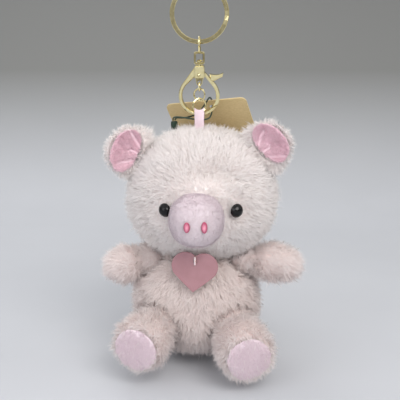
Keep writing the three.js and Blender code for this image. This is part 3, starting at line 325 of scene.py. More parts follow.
# Woven grosgrain, pale pink: ribs 0.45 mm apart across the ribbon, with a soft silky sheen
def ribbonWeave():
    material, tree, where = newMaterial("wovenPinkGrosgrain")
    run = addNode(tree, "ShaderNodeAttribute", output="Fac", attribute_name="ribbonRun")
    wave = addNode(tree, "ShaderNodeMath", {0: run, 1: 2 * math.pi / (0.45 * mm)}, operation="MULTIPLY")
    rib = addNode(tree, "ShaderNodeMath", {0: wave}, operation="SINE")
    thread = addNode(tree, "ShaderNodeTexNoise", {"Vector": where, "Scale": 1 / (0.18 * mm), "Detail": 2})
    patch = addNode(tree, "ShaderNodeTexNoise", {"Vector": where, "Scale": 1 / (3 * mm), "Detail": 2})
    height = addNode(tree, "ShaderNodeMath", {0: rib, 1: thread}, operation="ADD")
    colour = addNode(tree, "ShaderNodeMix", {
        mixShare: patch, mixFirst: tint("ead0da"), mixSecond: tint("f6e2ea"),
    }, mixResult, data_type="RGBA")
    gloss = addNode(tree, "ShaderNodeMapRange", {
        "Value": rib, "From Min": -1, "From Max": 1, "To Min": 0.65, "To Max": 0.45,
    })
    relief = addNode(tree, "ShaderNodeBump", {"Height": height, "Distance": 0.05 * mm, "Strength": 0.6})
    return finished(material, addNode(tree, "ShaderNodeBsdfPrincipled", {
        "Base Color": colour, "Roughness": gloss, "Sheen Weight": 0.3, "Normal": relief,
    }))


# Rayon embroidery thread in satin stitch, deep pink: strands 0.3 mm wide, streaked lighter along their length
# partly by their own tone and partly by painted highlight
def stitchThread():
    material, tree, where = newMaterial("satinStitchedRayonThread")
    drawn = addNode(tree, "ShaderNodeMapping", {"Vector": where, "Scale": (1, 1, 0.15)})
    strand = addNode(tree, "ShaderNodeTexNoise", {"Vector": drawn, "Scale": 1 / (0.3 * mm), "Detail": 2})
    rim = addNode(tree, "ShaderNodeAttribute", output="Fac", attribute_name="stitchRim")
    # Painted highlight: the thread's colour is lighter towards the nostril's middle and darker towards its
    # rim, which is painted shade
    paintedHighlight = addNode(tree, "ShaderNodeMapRange", {"Value": rim, "From Min": 0.85, "From Max": 0.1})
    both = addNode(tree, "ShaderNodeMath", {0: strand, 1: paintedHighlight}, operation="ADD")
    share = addNode(tree, "ShaderNodeMapRange", {"Value": both, "From Min": 0.4, "From Max": 1.4})
    colour = addNode(tree, "ShaderNodeMix", {
        mixShare: share, mixFirst: tint("a83058"), mixSecond: tint("f4a3ba"),
    }, mixResult, data_type="RGBA")
    gloss = addNode(tree, "ShaderNodeMapRange", {
        "Value": strand, "From Min": 0.3, "From Max": 0.7, "To Min": 0.3, "To Max": 0.45,
    })
    relief = addNode(tree, "ShaderNodeBump", {"Height": strand, "Distance": 0.15 * mm, "Strength": 0.9})
    return finished(material, addNode(tree, "ShaderNodeBsdfPrincipled", {
        "Base Color": colour, "Roughness": gloss, "Sheen Weight": 0.2, "Normal": relief,
    }))


# Knitted polyester backing that a plush pile stands in: dull, with an uneven knit 0.6 mm wide
def knitBacking(name, low, high):
    material, tree, where = newMaterial(name)
    knit = addNode(tree, "ShaderNodeTexNoise", {"Vector": where, "Scale": 1 / (0.6 * mm), "Detail": 3})
    patch = addNode(tree, "ShaderNodeTexNoise", {"Vector": where, "Scale": 1 / (9 * mm), "Detail": 3})
    both = addNode(tree, "ShaderNodeMath", {0: knit, 1: patch}, operation="MULTIPLY")
    share = addNode(tree, "ShaderNodeMapRange", {"Value": both, "From Min": 0.12, "From Max": 0.4})
    colour = addNode(tree, "ShaderNodeMix", {
        mixShare: share, mixFirst: tint(low), mixSecond: tint(high),
    }, mixResult, data_type="RGBA")
    gloss = addNode(tree, "ShaderNodeMapRange", {
        "Value": knit, "From Min": 0.3, "From Max": 0.7, "To Min": 0.85, "To Max": 0.98,
    })
    relief = addNode(tree, "ShaderNodeBump", {"Height": knit, "Distance": 0.12 * mm, "Strength": 0.5})
    return finished(material, addNode(tree, "ShaderNodeBsdfPrincipled", {
        "Base Color": colour, "Roughness": gloss, "Sheen Weight": 0.3, "Normal": relief,
    }))


# Cut polyester pile: deeper at the root and paler at the tip, and light shines through the fine fibres
def pileFibre(name, root, low, high, through):
    material, tree, where = newMaterial(name)
    height = addNode(tree, "ShaderNodeAttribute", output="Fac", attribute_name="pileHeight")
    shade = addNode(tree, "ShaderNodeAttribute", output="Fac", attribute_name="pileShade")
    patch = addNode(tree, "ShaderNodeTexNoise", {"Vector": where, "Scale": 1 / (14 * mm), "Detail": 2})
    both = addNode(tree, "ShaderNodeMath", {0: shade, 1: patch}, operation="ADD")
    share = addNode(tree, "ShaderNodeMapRange", {"Value": both, "From Min": 0.5, "From Max": 1.5})
    tip = addNode(tree, "ShaderNodeMix", {
        mixShare: share, mixFirst: tint(low), mixSecond: tint(high),
    }, mixResult, data_type="RGBA")
    risen = addNode(tree, "ShaderNodeMapRange", {"Value": height, "From Min": 0, "From Max": 0.6})
    colour = addNode(tree, "ShaderNodeMix", {
        mixShare: risen, mixFirst: tint(root), mixSecond: tip,
    }, mixResult, data_type="RGBA")
    surface = addNode(tree, "ShaderNodeBsdfPrincipled", {
        "Base Color": colour, "Roughness": 0.85, "Sheen Weight": 0.2, "Sheen Roughness": 0.5,
        "Specular IOR Level": 0.2,
    })
    glow = addNode(tree, "ShaderNodeBsdfTranslucent", {"Color": colour})
    return finished(material, addNode(tree, "ShaderNodeMixShader", {0: through, 1: surface, 2: glow}))


# The CAD pieces that show as they are
gold, eye, nylon = goldPlating(), eyePlastic(), milkyNylon()
finishes = {
    "key_ring": gold, "swivel_yoke": gold, "swivel_pin": gold, "clasp_body": gold, "clasp_gate": gold,
    "gate_rivet": gold, "small_link": gold, "jump_ring_upper": gold, "jump_ring_lower": gold,
    "eye_left": eye, "eye_right": eye, "eye_washer_left": nylon, "eye_washer_right": nylon, "tag_pin": nylon,
    "heart_tag": tagLeather(), "hang_tag": kraftBoard(), "string_lock": lockPlastic(),
}
for name, material in finishes.items():
    nodes[name].data.materials.clear()
    nodes[name].data.materials.append(material)
print("frame materials made")


# Tag string, on the part's own route: out of the lock, through the ribbon and the card's hole, and back
string = {
    "diameter": 0.9 * mm,
    "route": [
        (-14.3, 5.5, -54.2), (-14.2, 5, -53.2), (-13, 4, -52.4), (-10, 2.6, -52.3), (-6, 1.2, -52.7),
        (-3, 0.2, -53), (0, 0, -53.2), (3, 0.6, -53.2), (5, 3.5, -52.6), (5.8, 6.6, -51), (6, 9.2, -49.4),
        (6, 11.5, -47.5), (6.1, 13.4, -45.8), (5.6, 13, -44), (5, 11, -42.7), (4.3, 8.4, -42.8),
        (3.3, 6.8, -44.4), (1.6, 6.6, -47), (-1, 6.9, -50.2), (-5, 6.9, -52.2), (-9.5, 6.3, -53),
        (-12.4, 5.8, -53), (-13.1, 5.5, -53.6), (-13.1, 5.5, -54.2),
    ],
    "divisions": 24, "step": 0.3 * mm,
    "plies": 3, "plyDepth": 0.1, "layLength": 3.2 * mm, "sides": 18, "weld": 0.001 * mm,
}


# A centripetal curve through the cord's route, in even steps, and its length
def evenPath(cord):
    p = np.array(cord["route"], float) * mm
    p = np.vstack([2 * p[0] - p[1], p, 2 * p[-1] - p[-2]])
    out = []
    for i in range(1, len(p) - 2):
        p0, p1, p2, p3 = p[i - 1:i + 3]
        t1 = np.linalg.norm(p1 - p0) ** 0.5
        t2 = t1 + np.linalg.norm(p2 - p1) ** 0.5
        t3 = t2 + np.linalg.norm(p3 - p2) ** 0.5
        for t in np.linspace(t1, t2, cord["divisions"], endpoint=False):
            a1 = (t1 - t) / t1 * p0 + t / t1 * p1
            a2 = (t2 - t) / (t2 - t1) * p1 + (t - t1) / (t2 - t1) * p2
            a3 = (t3 - t) / (t3 - t2) * p2 + (t - t2) / (t3 - t2) * p3
            b1 = (t2 - t) / t2 * a1 + t / t2 * a2
            b2 = (t3 - t) / (t3 - t1) * a2 + (t - t1) / (t3 - t1) * a3
            out.append((t2 - t) / (t2 - t1) * b1 + (t - t1) / (t2 - t1) * b2)
    out.append(p[-2])
    run = np.concatenate([[0], np.cumsum(np.linalg.norm(np.diff(out, axis=0), axis=1))])
    even = np.linspace(0, run[-1], int(run[-1] / cord["step"]))
    return np.stack([np.interp(even, run, np.array(out)[:, k]) for k in range(3)], -1), float(run[-1])


# A curve whose lobed profile turns as it goes, so that the plies wind round each other
def twistedCord(name, path, cord, material):
    profile = bpy.data.curves.new(name + "Profile", "CURVE")
    outline = profile.splines.new("POLY")
    outline.points.add(cord["sides"] - 1)
    outline.use_cyclic_u = True
    for i, point in enumerate(outline.points):
        angle = 2 * math.pi * i / cord["sides"]
        lobe = 1 - cord["plyDepth"] + cord["plyDepth"] * math.cos(cord["plies"] * angle)
        radius = cord["diameter"] / 2 * lobe
        point.co = (radius * math.cos(angle), radius * math.sin(angle), 0, 1)
    line = bpy.data.curves.new(name, "CURVE")
    line.dimensions = "3D"
    run = line.splines.new("POLY")
    run.points.add(len(path) - 1)
    for i, (point, place) in enumerate(zip(run.points, path)):
        point.co = (*place, 1)
        point.tilt = 2 * math.pi * i * cord["step"] / cord["layLength"]
    line.bevel_mode = "OBJECT"
    line.bevel_object = addObject(name + "Profile", profile)
    line.use_fill_caps = True
    drawn = addObject(name + "Line", line)
    graph = bpy.context.evaluated_depsgraph_get()
    data = bpy.data.meshes.new_from_object(drawn.evaluated_get(graph))
    shape = bmesh.new()
    shape.from_mesh(data)
    bmesh.ops.remove_doubles(shape, verts=shape.verts, dist=cord["weld"])
    for helper in (line.bevel_object, drawn):
        bpy.data.objects.remove(helper)
    return fromBmesh(name, shape, material)


stringPath, stringLength = evenPath(string)
stringPiece = twistedCord("tagCord", stringPath, string, waxedCord())
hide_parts("tag_string")
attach(stringPiece, "head")
print("cord made,", round(stringLength, 4), "m")


# A CAD node's mesh is loose triangles: corners closer than this are one point
mergeGap = 0.005 * mm


def mergedCopy(node, name, material):
    shape = bmesh.new()
    shape.from_mesh(nodes[node].data)
    bmesh.ops.remove_doubles(shape, verts=shape.verts, dist=mergeGap)
    return fromBmesh(name, shape, material)


# A CAD node's form as a finer, even skin
def remeshed(node, name, skin, material):
    made = mergedCopy(node, name, material)
    remesh = made.modifiers.new("remesh", "REMESH")
    remesh.mode = "VOXEL"
    remesh.voxel_size = skin["voxel"]
    smooth = made.modifiers.new("smooth", "SMOOTH")
    smooth.factor = 0.5
    smooth.iterations = skin["rounds"]
    applied(made)
    made.data.name = name
    shadeSmooth(made.data)
    return made


# Ribbon: the part's folded strip, with its edges rounded, and its height kept for the ribs of the weave
ribbonSkin = {"voxel": 0.16 * mm, "rounds": 3}
ribbon = remeshed("ribbon_loop", "pinkRibbon", ribbonSkin, ribbonWeave())
setAttribute(ribbon.data, "ribbonRun", pointsOf(ribbon.data)[:, 2])
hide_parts("ribbon_loop")
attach(ribbon, "head")
print("ribbon made")


# Stuffing: air pressure swells the skin like cotton behind cloth, and no point moves more than the cap
def stuff(made, stuffing):
    start = pointsOf(made.data)
    cloth = made.modifiers.new("stuffing", "CLOTH")
    cloth.settings.use_pressure = True
    cloth.settings.uniform_pressure_force = stuffing["pressure"]
    cloth.settings.effector_weights.gravity = 0
    cloth.settings.tension_stiffness = stuffing["stiffness"]
    cloth.settings.compression_stiffness = stuffing["stiffness"]
    cloth.point_cache.frame_start, cloth.point_cache.frame_end = 1, stuffing["frames"]
    scene = bpy.context.scene
    scene.frame_start, scene.frame_end = 1, stuffing["frames"]
    for number in range(1, stuffing["frames"] + 1):
        scene.frame_set(number)
    applied(made)
    scene.frame_set(1)
    moved = pointsOf(made.data) - start
    reach = np.linalg.norm(moved, axis=1, keepdims=True)
    movePoints(made.data, start + moved * np.minimum(1, stuffing["cap"] / np.maximum(reach, tiny)))


def subdivided(made, levels):
    divide = made.modifiers.new("subdivision", "SUBSURF")
    divide.levels = divide.render_levels = levels
    return applied(made)


# Random places on a mesh, about one in each square of that spacing, with their normals
def scatter(mesh, spacing):
    places, normals = pointsOf(mesh), normalsOf(mesh)
    corners = trianglesOf(mesh)
    a, b, c = (places[corners[:, k]] for k in range(3))
    areas = np.linalg.norm(np.cross(b - a, c - a), axis=1) / 2
    count = int(areas.sum() / spacing ** 2)
    chosen = chance.choice(len(corners), count, p=areas / areas.sum())
    u, v = np.sqrt(chance.random(count)), chance.random(count)
    weights = np.stack([1 - u, u * (1 - v), u * v], -1)[:, :, None]
    picked = corners[chosen]
    return (places[picked] * weights).sum(1), unit((normals[picked] * weights).sum(1))


# Each strand of pile is a tapering ribbon of seven points that lies back over the skin: pairs of points at
# three levels, and a tip. There are far too many for an operator each, so their points are worked out
# together and put in the mesh at once. Lengths, widths and shades vary between these bounds, by clump and by
# strand.
strand = {
    "levels": (0, 0.36, 0.7), "faces": ((0, 1, 3, 2), (2, 3, 5, 4), (4, 5, 6)), "mostInAPiece": 39000,
    "fewestLeaders": 8, "clumpLengths": (0.9, 1.08), "ownLengths": (0.65, 1.05), "longShare": 0.06,
    "longFactor": 1.3, "rise": 0.42, "reach": 0.16, "twist": 0.12, "widths": (0.7, 1.3), "taper": 0.55,
    "shadingLean": 0.7, "clumpShade": 0.3,
}
strandHeights = np.append(np.repeat(strand["levels"], 2), 1)
strandCorners = np.concatenate(strand["faces"])
strandStarts = np.cumsum([0] + [len(face) for face in strand["faces"]])[:-1]


def strandMesh(name, rows, shading, shade, material):
    count, points, turns = len(rows), len(strandHeights), len(strandCorners)
    number = np.arange(count)[:, None]
    data = bpy.data.meshes.new(name)
    data.vertices.add(count * points)
    data.vertices.foreach_set("co", rows.astype(np.float32).reshape(-1))
    data.loops.add(count * turns)
    data.loops.foreach_set("vertex_index", (number * points + strandCorners).astype(np.int32).reshape(-1))
    data.polygons.add(count * len(strand["faces"]))
    data.polygons.foreach_set("loop_start", (number * turns + strandStarts).astype(np.int32).reshape(-1))
    data.update(calc_edges=True)
    data.validate()
    made = addPiece(name, data, material)
    data.normals_split_custom_set_from_vertices(np.repeat(shading, points, 0).tolist())
    setAttribute(data, "pileHeight", np.tile(strandHeights, count))
    setAttribute(data, "pileShade", np.repeat(shade, points))
    return made


# Strands from those roots: a few lead, and the rest of each clump aim as their nearest leader does
def growPile(name, places, normals, lengths, pile, material):
    count = len(places)
    leading = max(strand["fewestLeaders"], int(count * (pile["spacing"] / pile["clump"]) ** 2))
    leaders = chance.choice(count, leading, replace=False)
    tree = kdtree.KDTree(len(leaders))
    for k, i in enumerate(leaders):
        tree.insert(places[i], k)
    tree.balance()
    nearest = np.array([tree.find(p)[1] for p in places])
    leaderPlaces, leaderNormals = places[leaders], normals[leaders]
    flow = wander(leaderPlaces, pile["swirl"], pile["seed"]) * pile["stray"] + pile["comb"](leaderPlaces)
    flow -= leaderNormals * (flow * leaderNormals).sum(1, keepdims=True)
    wild = chance.normal(0, pile["wild"], leaderPlaces.shape)
    aim = unit(leaderNormals * pile["stand"] + unit(flow) * pile["lean"] + wild)
    clumpLengths = chance.uniform(*strand["clumpLengths"], len(leaders))[nearest]
    lengths = lengths * clumpLengths * chance.uniform(*strand["ownLengths"], count)
    lengths = lengths * np.where(chance.random(count) < strand["longShare"], strand["longFactor"], 1)
    own = unit(aim[nearest] + chance.normal(0, pile["spread"], (count, 3)))
    gathered = leaderPlaces[nearest] + aim[nearest] * lengths[:, None]
    tips = (places + own * lengths[:, None]) * (1 - pile["pull"]) + gathered * pile["pull"]
    tips[:, 2] -= lengths * pile["droop"]
    rise, reach = (lengths * strand[key] for key in ("rise", "reach"))
    middle = places + normals * rise[:, None] + own * reach[:, None]
    along = unit(tips - places)
    side = unit(np.cross(along, normals) + chance.normal(0, strand["twist"], (count, 3)))
    side = unit(side - along * (side * along).sum(1, keepdims=True))
    flip = np.sign((np.cross(side, along) * normals).sum(1, keepdims=True))
    side = side * np.where(flip == 0, 1, flip)
    widths = pile["width"] * chance.uniform(*strand["widths"], count)
    rows = []
    for t in strand["levels"]:
        place = places * (1 - t) ** 2 + middle * 2 * t * (1 - t) + tips * t ** 2
        half = side * (widths * (1 - strand["taper"] * t) / 2)[:, None]
        rows += [place - half, place + half]
    rows = np.stack(rows + [tips], 1)
    shading = unit(normals - own * (normals * own).sum(1, keepdims=True) * strand["shadingLean"])
    clumpShade = chance.random(len(leaders))[nearest] * strand["clumpShade"]
    shade = clumpShade + chance.random(count) * (1 - strand["clumpShade"])
    made = []
    for start in range(0, count, strand["mostInAPiece"]):
        part = slice(start, start + strand["mostInAPiece"])
        made.append(strandMesh(name + str(len(made) + 1), rows[part], shading[part], shade[part], material))
    return made


# A comb that lays the whole pile one way
def steady(direction):
    return lambda places: np.tile(direction, (len(places), 1))


def nearestOn(node, places):
    return np.array([nodes[node].closest_point_on_mesh(p)[1] for p in places])


whiteBacking = knitBacking("whiteKnittedBacking", "f4ebe9", "fbf6f4")
limbBacking = knitBacking("palePinkKnittedBacking", "f8eae7", "fcf1ef")
lilacBacking = knitBacking("lilacPinkKnittedBacking", "ebdae2", "f3e5eb")
brightBacking = knitBacking("brightPinkKnittedBacking", "f0ccd8", "f7dae3")
shellBacking = knitBacking("shellPinkKnittedBacking", "e9dfe4", "f3ebef")
whiteFibre = pileFibre("longWhitePolyesterPile", "f8f1ef", "fcf8f6", "fffdfc", 0.5)
bodyFibre = pileFibre("longMilkPinkPolyesterPile", "faf1ee", "fdf6f4", "fffbf9", 0.6)
limbFibre = pileFibre("longPalePinkPolyesterPile", "fdf5f3", "fef7f5", "fffcfb", 0.6)
lilacFibre = pileFibre("shortLilacPinkPolyesterPile", "ecdce4", "f1e2e9", "f7ebf0", 0.3)
brightFibre = pileFibre("shortBrightPinkPolyesterPile", "f0ccd8", "f5d7e1", "fae4eb", 0.3)
shellFibre = pileFibre("shortShellPinkPolyesterPile", "eadfe4", "f0e6ea", "f6eef1", 0.3)


def centreOf(node):
    low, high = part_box(node)
    return np.array((low + high) / 2)


# A point inside each bead eye, this far behind its front
beadDepth = 2.4 * mm
eyeFronts = [
    centreOf(node) * [1, 0, 1] + np.array([0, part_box(node)[0][1] + beadDepth, 0])
    for node in ("eye_left", "eye_right")
]
snoutLow, snoutHigh = (np.array(v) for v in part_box("snout"))
snoutMiddle = (snoutLow + snoutHigh) / 2
headMiddle, torsoMiddle = centreOf("head"), centreOf("torso")


# A plush part: a stuffed skin in place of the CAD solid, and the pile that grows from it
def plush(name, node, body, skin, pile, backing, fibre, lengthAt=None, shapeAt=None):
    if skin["voxel"]:
        base = remeshed(node, name, skin, backing)
    else:
        base = subdivided(mergedCopy(node, name, backing), skin["divided"])
    movePoints(base.data, pointsOf(base.data) - normalsOf(base.data) * skin["sink"])
    if skin["stuffing"]:
        stuff(base, skin["stuffing"])
    places, normals = pointsOf(base.data), normalsOf(base.data)
    inward = -wander(places, skin["lumpSize"], pile["seed"])[:, 0] * skin["lump"]
    if shapeAt is not None:
        inward = inward + shapeAt(places)
    movePoints(base.data, places - normals * inward[:, None])
    if skin["levels"]:
        subdivided(base, skin["levels"])
    roots, outward = scatter(base.data, pile["spacing"])
    lengths = np.full(len(roots), pile["length"])
    if skin.get("evened"):
        facing = unit(outward[outward[:, 1] < 0].mean(0))
        front = outward @ facing > skin["turned"]
        roots, outward, lengths = roots[front], outward[front], lengths[front]
        outward = unit(outward * (1 - skin["evened"]) + facing * skin["evened"])
    if lengthAt is not None:
        factor = lengthAt(roots)
        kept = factor > 0
        roots, outward, lengths = roots[kept], outward[kept], (lengths * factor)[kept]
    fur = growPile(name + "Pile", roots, outward, lengths, pile, fibre)
    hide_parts(node)
    for piece in [base] + fur:
        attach(piece, body)
    print(name, "made with", len(roots), "strands")


# What the parts share. A skin is sunk so that the pile fills out the part's form. Of a pile, stray is how
# much it swirls, stand and lean how far it stands up and lies along the comb, and wild and spread how unruly
# it is.
stuffing = {"pressure": 4, "stiffness": 15, "frames": 20, "cap": 1.2 * mm}
longPile = {
    "spacing": 0.44 * mm, "length": 6.5 * mm, "width": 0.34 * mm, "clump": 2.6 * mm, "swirl": 16 * mm,
    "seed": 3, "stray": 0.5, "stand": 0.62, "lean": 0.8, "wild": 0.15, "spread": 0.38, "pull": 0.05,
    "droop": 0.02,
}
fullSkin = {
    "voxel": 2.4 * mm, "rounds": 5, "sink": 2.6 * mm, "lump": 0.7 * mm, "lumpSize": 16 * mm, "fill": 0.9,
    "levels": 1, "stuffing": stuffing, "slot": "white_fur",
}

# Head: the pile is brushed back from the snout and away from the eyes, and is shorter round them, where the
# card presses on it and under the ribbon. Pairs give the places between which an effect comes or goes.
combed = {
    "depthShare": 0.3, "face": (-6 * mm, 12 * mm), "outward": 0.9,
    "behind": np.array([0, 0.15, -0.75]), "fall": np.array([0, 0, -0.2]),
}
brow = {
    "depth": 2.6 * mm, "width": 2.8 * mm, "from": (3 * mm, -78 * mm), "to": (27 * mm, -84 * mm),
    "bow": 3 * mm, "front": (8 * mm, 16 * mm),
}
eyeRing = {
    "combed": 1.6, "combedOver": (5 * mm, 12 * mm), "hollow": 1.4 * mm, "hollowOver": (3 * mm, 11 * mm),
    "shortest": 0.3, "raised": 0.2, "raisedOver": (1 * mm, 4 * mm), "grown": 0.7,
    "grownOver": (4 * mm, 15 * mm), "bare": 3.2 * mm,
}
lash = {"above": 2 * mm, "sideways": 3.6 * mm, "within": 7 * mm, "comb": (0, -0.5, -1.5), "length": 0.85}
snoutRim = {
    "front": -5 * mm, "faraway": 1.0, "swell": 2.2 * mm, "swellOver": (-5 * mm, -2 * mm),
    "endsOver": (1 * mm, 10 * mm), "shortest": 0.35, "grownOver": (0.5 * mm, 14 * mm), "bare": -0.5 * mm,
}
cardPress = {"clearance": 0.1, "shortest": 0.2}
crown = {"radius": 3.2 * mm, "above": -70 * mm, "length": 0.5}


# How far each place is outside the snout's rim, seen from the front, or a long way if it is behind
def besideSnout(places):
    half = (snoutHigh - snoutLow)[[0, 2]] / 2
    flat = (places[:, [0, 2]] - snoutMiddle[[0, 2]]) / half
    out = (np.linalg.norm(flat, axis=1) - 1) * half.mean()
    return np.where(places[:, 1] > snoutRim["front"], snoutRim["faraway"], out)


# The strands just above an eye, which hang over its top
def overEye(places, eye):
    sideways, above = np.abs(places[:, 0] - eye[0]), places[:, 2] - eye[2]
    near = distanceTo(places, eye) < lash["within"]
    return (above > lash["above"]) & (sideways < lash["sideways"]) & near


def headComb(places):
    outward = places - snoutMiddle
    outward[:, 1] *= combed["depthShare"]
    face = smoothStep(-places[:, 1], *combed["face"])[:, None]
    flow = unit(outward) * face * combed["outward"] + combed["behind"] * (1 - face) + combed["fall"]
    for eye in eyeFronts:
        near = 1 - smoothStep(distanceTo(places, eye), *eyeRing["combedOver"])[:, None]
        flow = flow + unit(places - eye) * eyeRing["combed"] * near
        flow = np.where(overEye(places, eye)[:, None], lash["comb"], flow)
    return flow


# How far each place of the head's skin goes in: round the eyes and at the brow's crease, and out at the snout
def headShape(places):
    inward = np.zeros(len(places))
    for eye in eyeFronts:
        inward += eyeRing["hollow"] * (1 - smoothStep(distanceTo(places, eye), *eyeRing["hollowOver"]))
    rim = besideSnout(places)
    ended = smoothStep(rim, *snoutRim["endsOver"])
    inward -= snoutRim["swell"] * smoothStep(rim, *snoutRim["swellOver"]) * (1 - ended)
    start, end = np.array(brow["from"]), np.array(brow["to"])
    flat, run = places[:, [0, 2]], end - start
    along = np.clip(((flat - start) @ run) / (run @ run), 0, 1)
    bow = start + along[:, None] * run + np.stack([0 * along, brow["bow"] * np.sin(np.pi * along)], 1)
    away = np.linalg.norm(flat - bow, axis=1)
    front = smoothStep(-places[:, 1], *brow["front"])
    return inward + brow["depth"] * np.exp(-(away / brow["width"]) ** 2) * front


def headLength(places):
    behindCard = distanceTo(places, nearestOn("hang_tag", places))
    factor = np.clip(behindCard / longPile["length"] - cardPress["clearance"], cardPress["shortest"], 1)
    for eye in eyeFronts:
        gap = distanceTo(places, eye)
        raised = eyeRing["raised"] * smoothStep(places[:, 2] - eye[2], *eyeRing["raisedOver"])
        grown = eyeRing["grown"] * smoothStep(gap, *eyeRing["grownOver"])
        factor = np.minimum(factor, eyeRing["shortest"] + raised + grown)
        factor = np.where(overEye(places, eye), lash["length"], factor)
        factor = np.where(gap < eyeRing["bare"], 0, factor)
    rim = besideSnout(places)
    shortest = snoutRim["shortest"]
    factor = np.minimum(factor, shortest + (1 - shortest) * smoothStep(rim, *snoutRim["grownOver"]))
    underRibbon = (np.hypot(places[:, 0], places[:, 1]) < crown["radius"]) & (places[:, 2] > crown["above"])
    factor = np.where(underRibbon, factor * crown["length"], factor)
    return np.where(rim < snoutRim["bare"], 0, factor)


headPile = {**longPile, "comb": headComb}
plush("headPlush", "head", "head", fullSkin, headPile, whiteBacking, whiteFibre, headLength, headShape)


# Torso: brushed down and parted over the belly, bare where the head hides it and short underneath
torsoFur = {
    "sideways": 0.35, "partedOver": 20 * mm, "down": 0.9,
    "hiddenAbove": -126 * mm, "hiddenRadius": 17 * mm, "seat": -176 * mm, "seatLength": 0.35,
}


def torsoComb(places):
    aside = places[:, 0] - torsoMiddle[0]
    parted = np.sign(aside) * smoothStep(np.abs(aside), 0, torsoFur["partedOver"])
    return np.stack([torsoFur["sideways"] * parted, 0 * parted, 0 * parted - torsoFur["down"]], 1)


def torsoLength(places):
    underHead = np.hypot(places[:, 0] - headMiddle[0], places[:, 1]) < torsoFur["hiddenRadius"]
    hidden = underHead & (places[:, 2] > torsoFur["hiddenAbove"])
    return np.where(hidden, 0, np.where(places[:, 2] < torsoFur["seat"], torsoFur["seatLength"], 1))


torsoPile = {**longPile, "seed": 5, "comb": torsoComb}
plush("torsoPlush", "torso", "torso", fullSkin, torsoPile, whiteBacking, bodyFibre, torsoLength)

# Limbs: brushed outwards and down, and near a foot pad the pile leans out over its edge
limbSkin = {**fullSkin, "voxel": 1.6 * mm, "sink": 2 * mm, "lump": 0.4 * mm, "slot": "pink_fur"}
limbPile = {**longPile, "length": 6 * mm, "stray": 0.6, "seed": 7}
limbReach = {
    "arm_left": (-0.9, -0.15, -0.45), "arm_right": (0.9, -0.15, -0.4),
    "leg_left": (-0.45, -0.4, -0.6), "leg_right": (0.45, -0.4, -0.6),
}
padEdge = {"lean": np.array([0, -1.6, 0]), "over": (3 * mm, 8 * mm)}


def limbComb(direction, pad):
    if pad is None:
        return steady(direction)

    def comb(places):
        beside = 1 - smoothStep(distanceTo(places, nearestOn(pad, places)), *padEdge["over"])
        return steady(direction)(places) + padEdge["lean"] * beside[:, None]

    return comb


for number, (body, reach) in enumerate(limbReach.items()):
    limb, side = body.split("_")
    pad = "foot_pad_" + side if limb == "leg" else None
    comb = limbComb(unit(np.array(reach)), pad)
    pile = {**limbPile, "seed": limbPile["seed"] + number, "comb": comb}
    plush(limb + side.title() + "Plush", body, body, limbSkin, pile, limbBacking, limbFibre)

# Ears: pile over the back and the rim, and in the cup a short-pile lining with three folds
earSkin = {
    **fullSkin, "voxel": 0.8 * mm, "rounds": 3, "sink": 0.8 * mm, "lump": 0.2 * mm, "lumpSize": 6 * mm,
    "levels": 0, "stuffing": None,
}
earPile = {**longPile, "length": 4.6 * mm, "clump": 2 * mm, "seed": 19}
earRoots = {"ear_left": (-29.4, -7, -71.4), "ear_right": (30.8, -7, -69.7)}
earTips = {"ear_left": (-45.5, -13, -63.5), "ear_right": (44.5, -12, -56)}
earFur = {
    "tipwards": 0.25, "bare": 0.8 * mm, "shortest": 0.6, "grownOver": (0.8 * mm, 4 * mm),
    "cup": 1.3 * mm, "cupOver": (0.7 * mm, 1.4 * mm),
}
earFolds = {
    "angles": (-0.5, 0.12, 0.62), "width": 0.9 * mm, "depth": 1.1 * mm, "behindRoot": 2 * mm,
    "narrowest": 2 * mm, "beginOver": (1 * mm, 5 * mm), "endOver": (11 * mm, 19 * mm),
}

# Short plush: the ears' linings, foot pads, snout and tail
shortSkin = {
    "voxel": 0.9 * mm, "rounds": 12, "sink": 0.4 * mm, "lump": 0.15 * mm, "lumpSize": 7 * mm, "fill": 0.8,
    "levels": 1, "stuffing": {**stuffing, "cap": 0.4 * mm}, "slot": "pink_plush",
}
shortPile = {
    "spacing": 0.28 * mm, "length": 1.3 * mm, "width": 0.2 * mm, "clump": 2 * mm, "swirl": 9 * mm, "seed": 13,
    "stray": 0.2, "stand": 0.6, "lean": 0.75, "wild": 0.08, "spread": 0.35, "pull": 0, "droop": 0.02,
    "comb": steady([0.0, 0.1, -0.8]),
}
liningSkin = {
    **shortSkin, "sink": 0, "voxel": None, "divided": 2, "lump": 0.1 * mm, "levels": 0, "stuffing": None,
    "evened": 0.4, "turned": 0.2,
}
liningPile = {**shortPile, "seed": 23}


# An ear's comb, its lining's folds, and its pile's length and its hollow, which both depend on the lining
def earSettings(body, lining):
    root, tip = np.array(earRoots[body]) * mm, np.array(earTips[body]) * mm
    middle = (root + tip) / 2
    along = unit(tip - root)
    across = unit(np.cross(along, [0, -1, 0]))

    def comb(places):
        return unit(places - middle) + along * earFur["tipwards"]

    def crease(places):
        fromRoot = places - (root - along * earFolds["behindRoot"])
        run = fromRoot @ along
        angle = np.arctan2(fromRoot @ across, run)
        reach = np.maximum(run, earFolds["narrowest"])
        folds = sum(np.exp(-((angle - fold) * reach / earFolds["width"]) ** 2) for fold in earFolds["angles"])
        fade = smoothStep(run, *earFolds["beginOver"]) * (1 - smoothStep(run, *earFolds["endOver"]))
        return earFolds["depth"] * folds * fade

    def besideLining(places):
        return distanceTo(places, nearestOn(lining, places))

    def length(places):
        gap = besideLining(places)
        grown = earFur["shortest"] + (1 - earFur["shortest"]) * smoothStep(gap, *earFur["grownOver"])
        return np.where(gap < earFur["bare"], 0, grown)

    def cup(places):
        return earFur["cup"] * (1 - smoothStep(besideLining(places), *earFur["cupOver"]))

    return comb, crease, length, cup


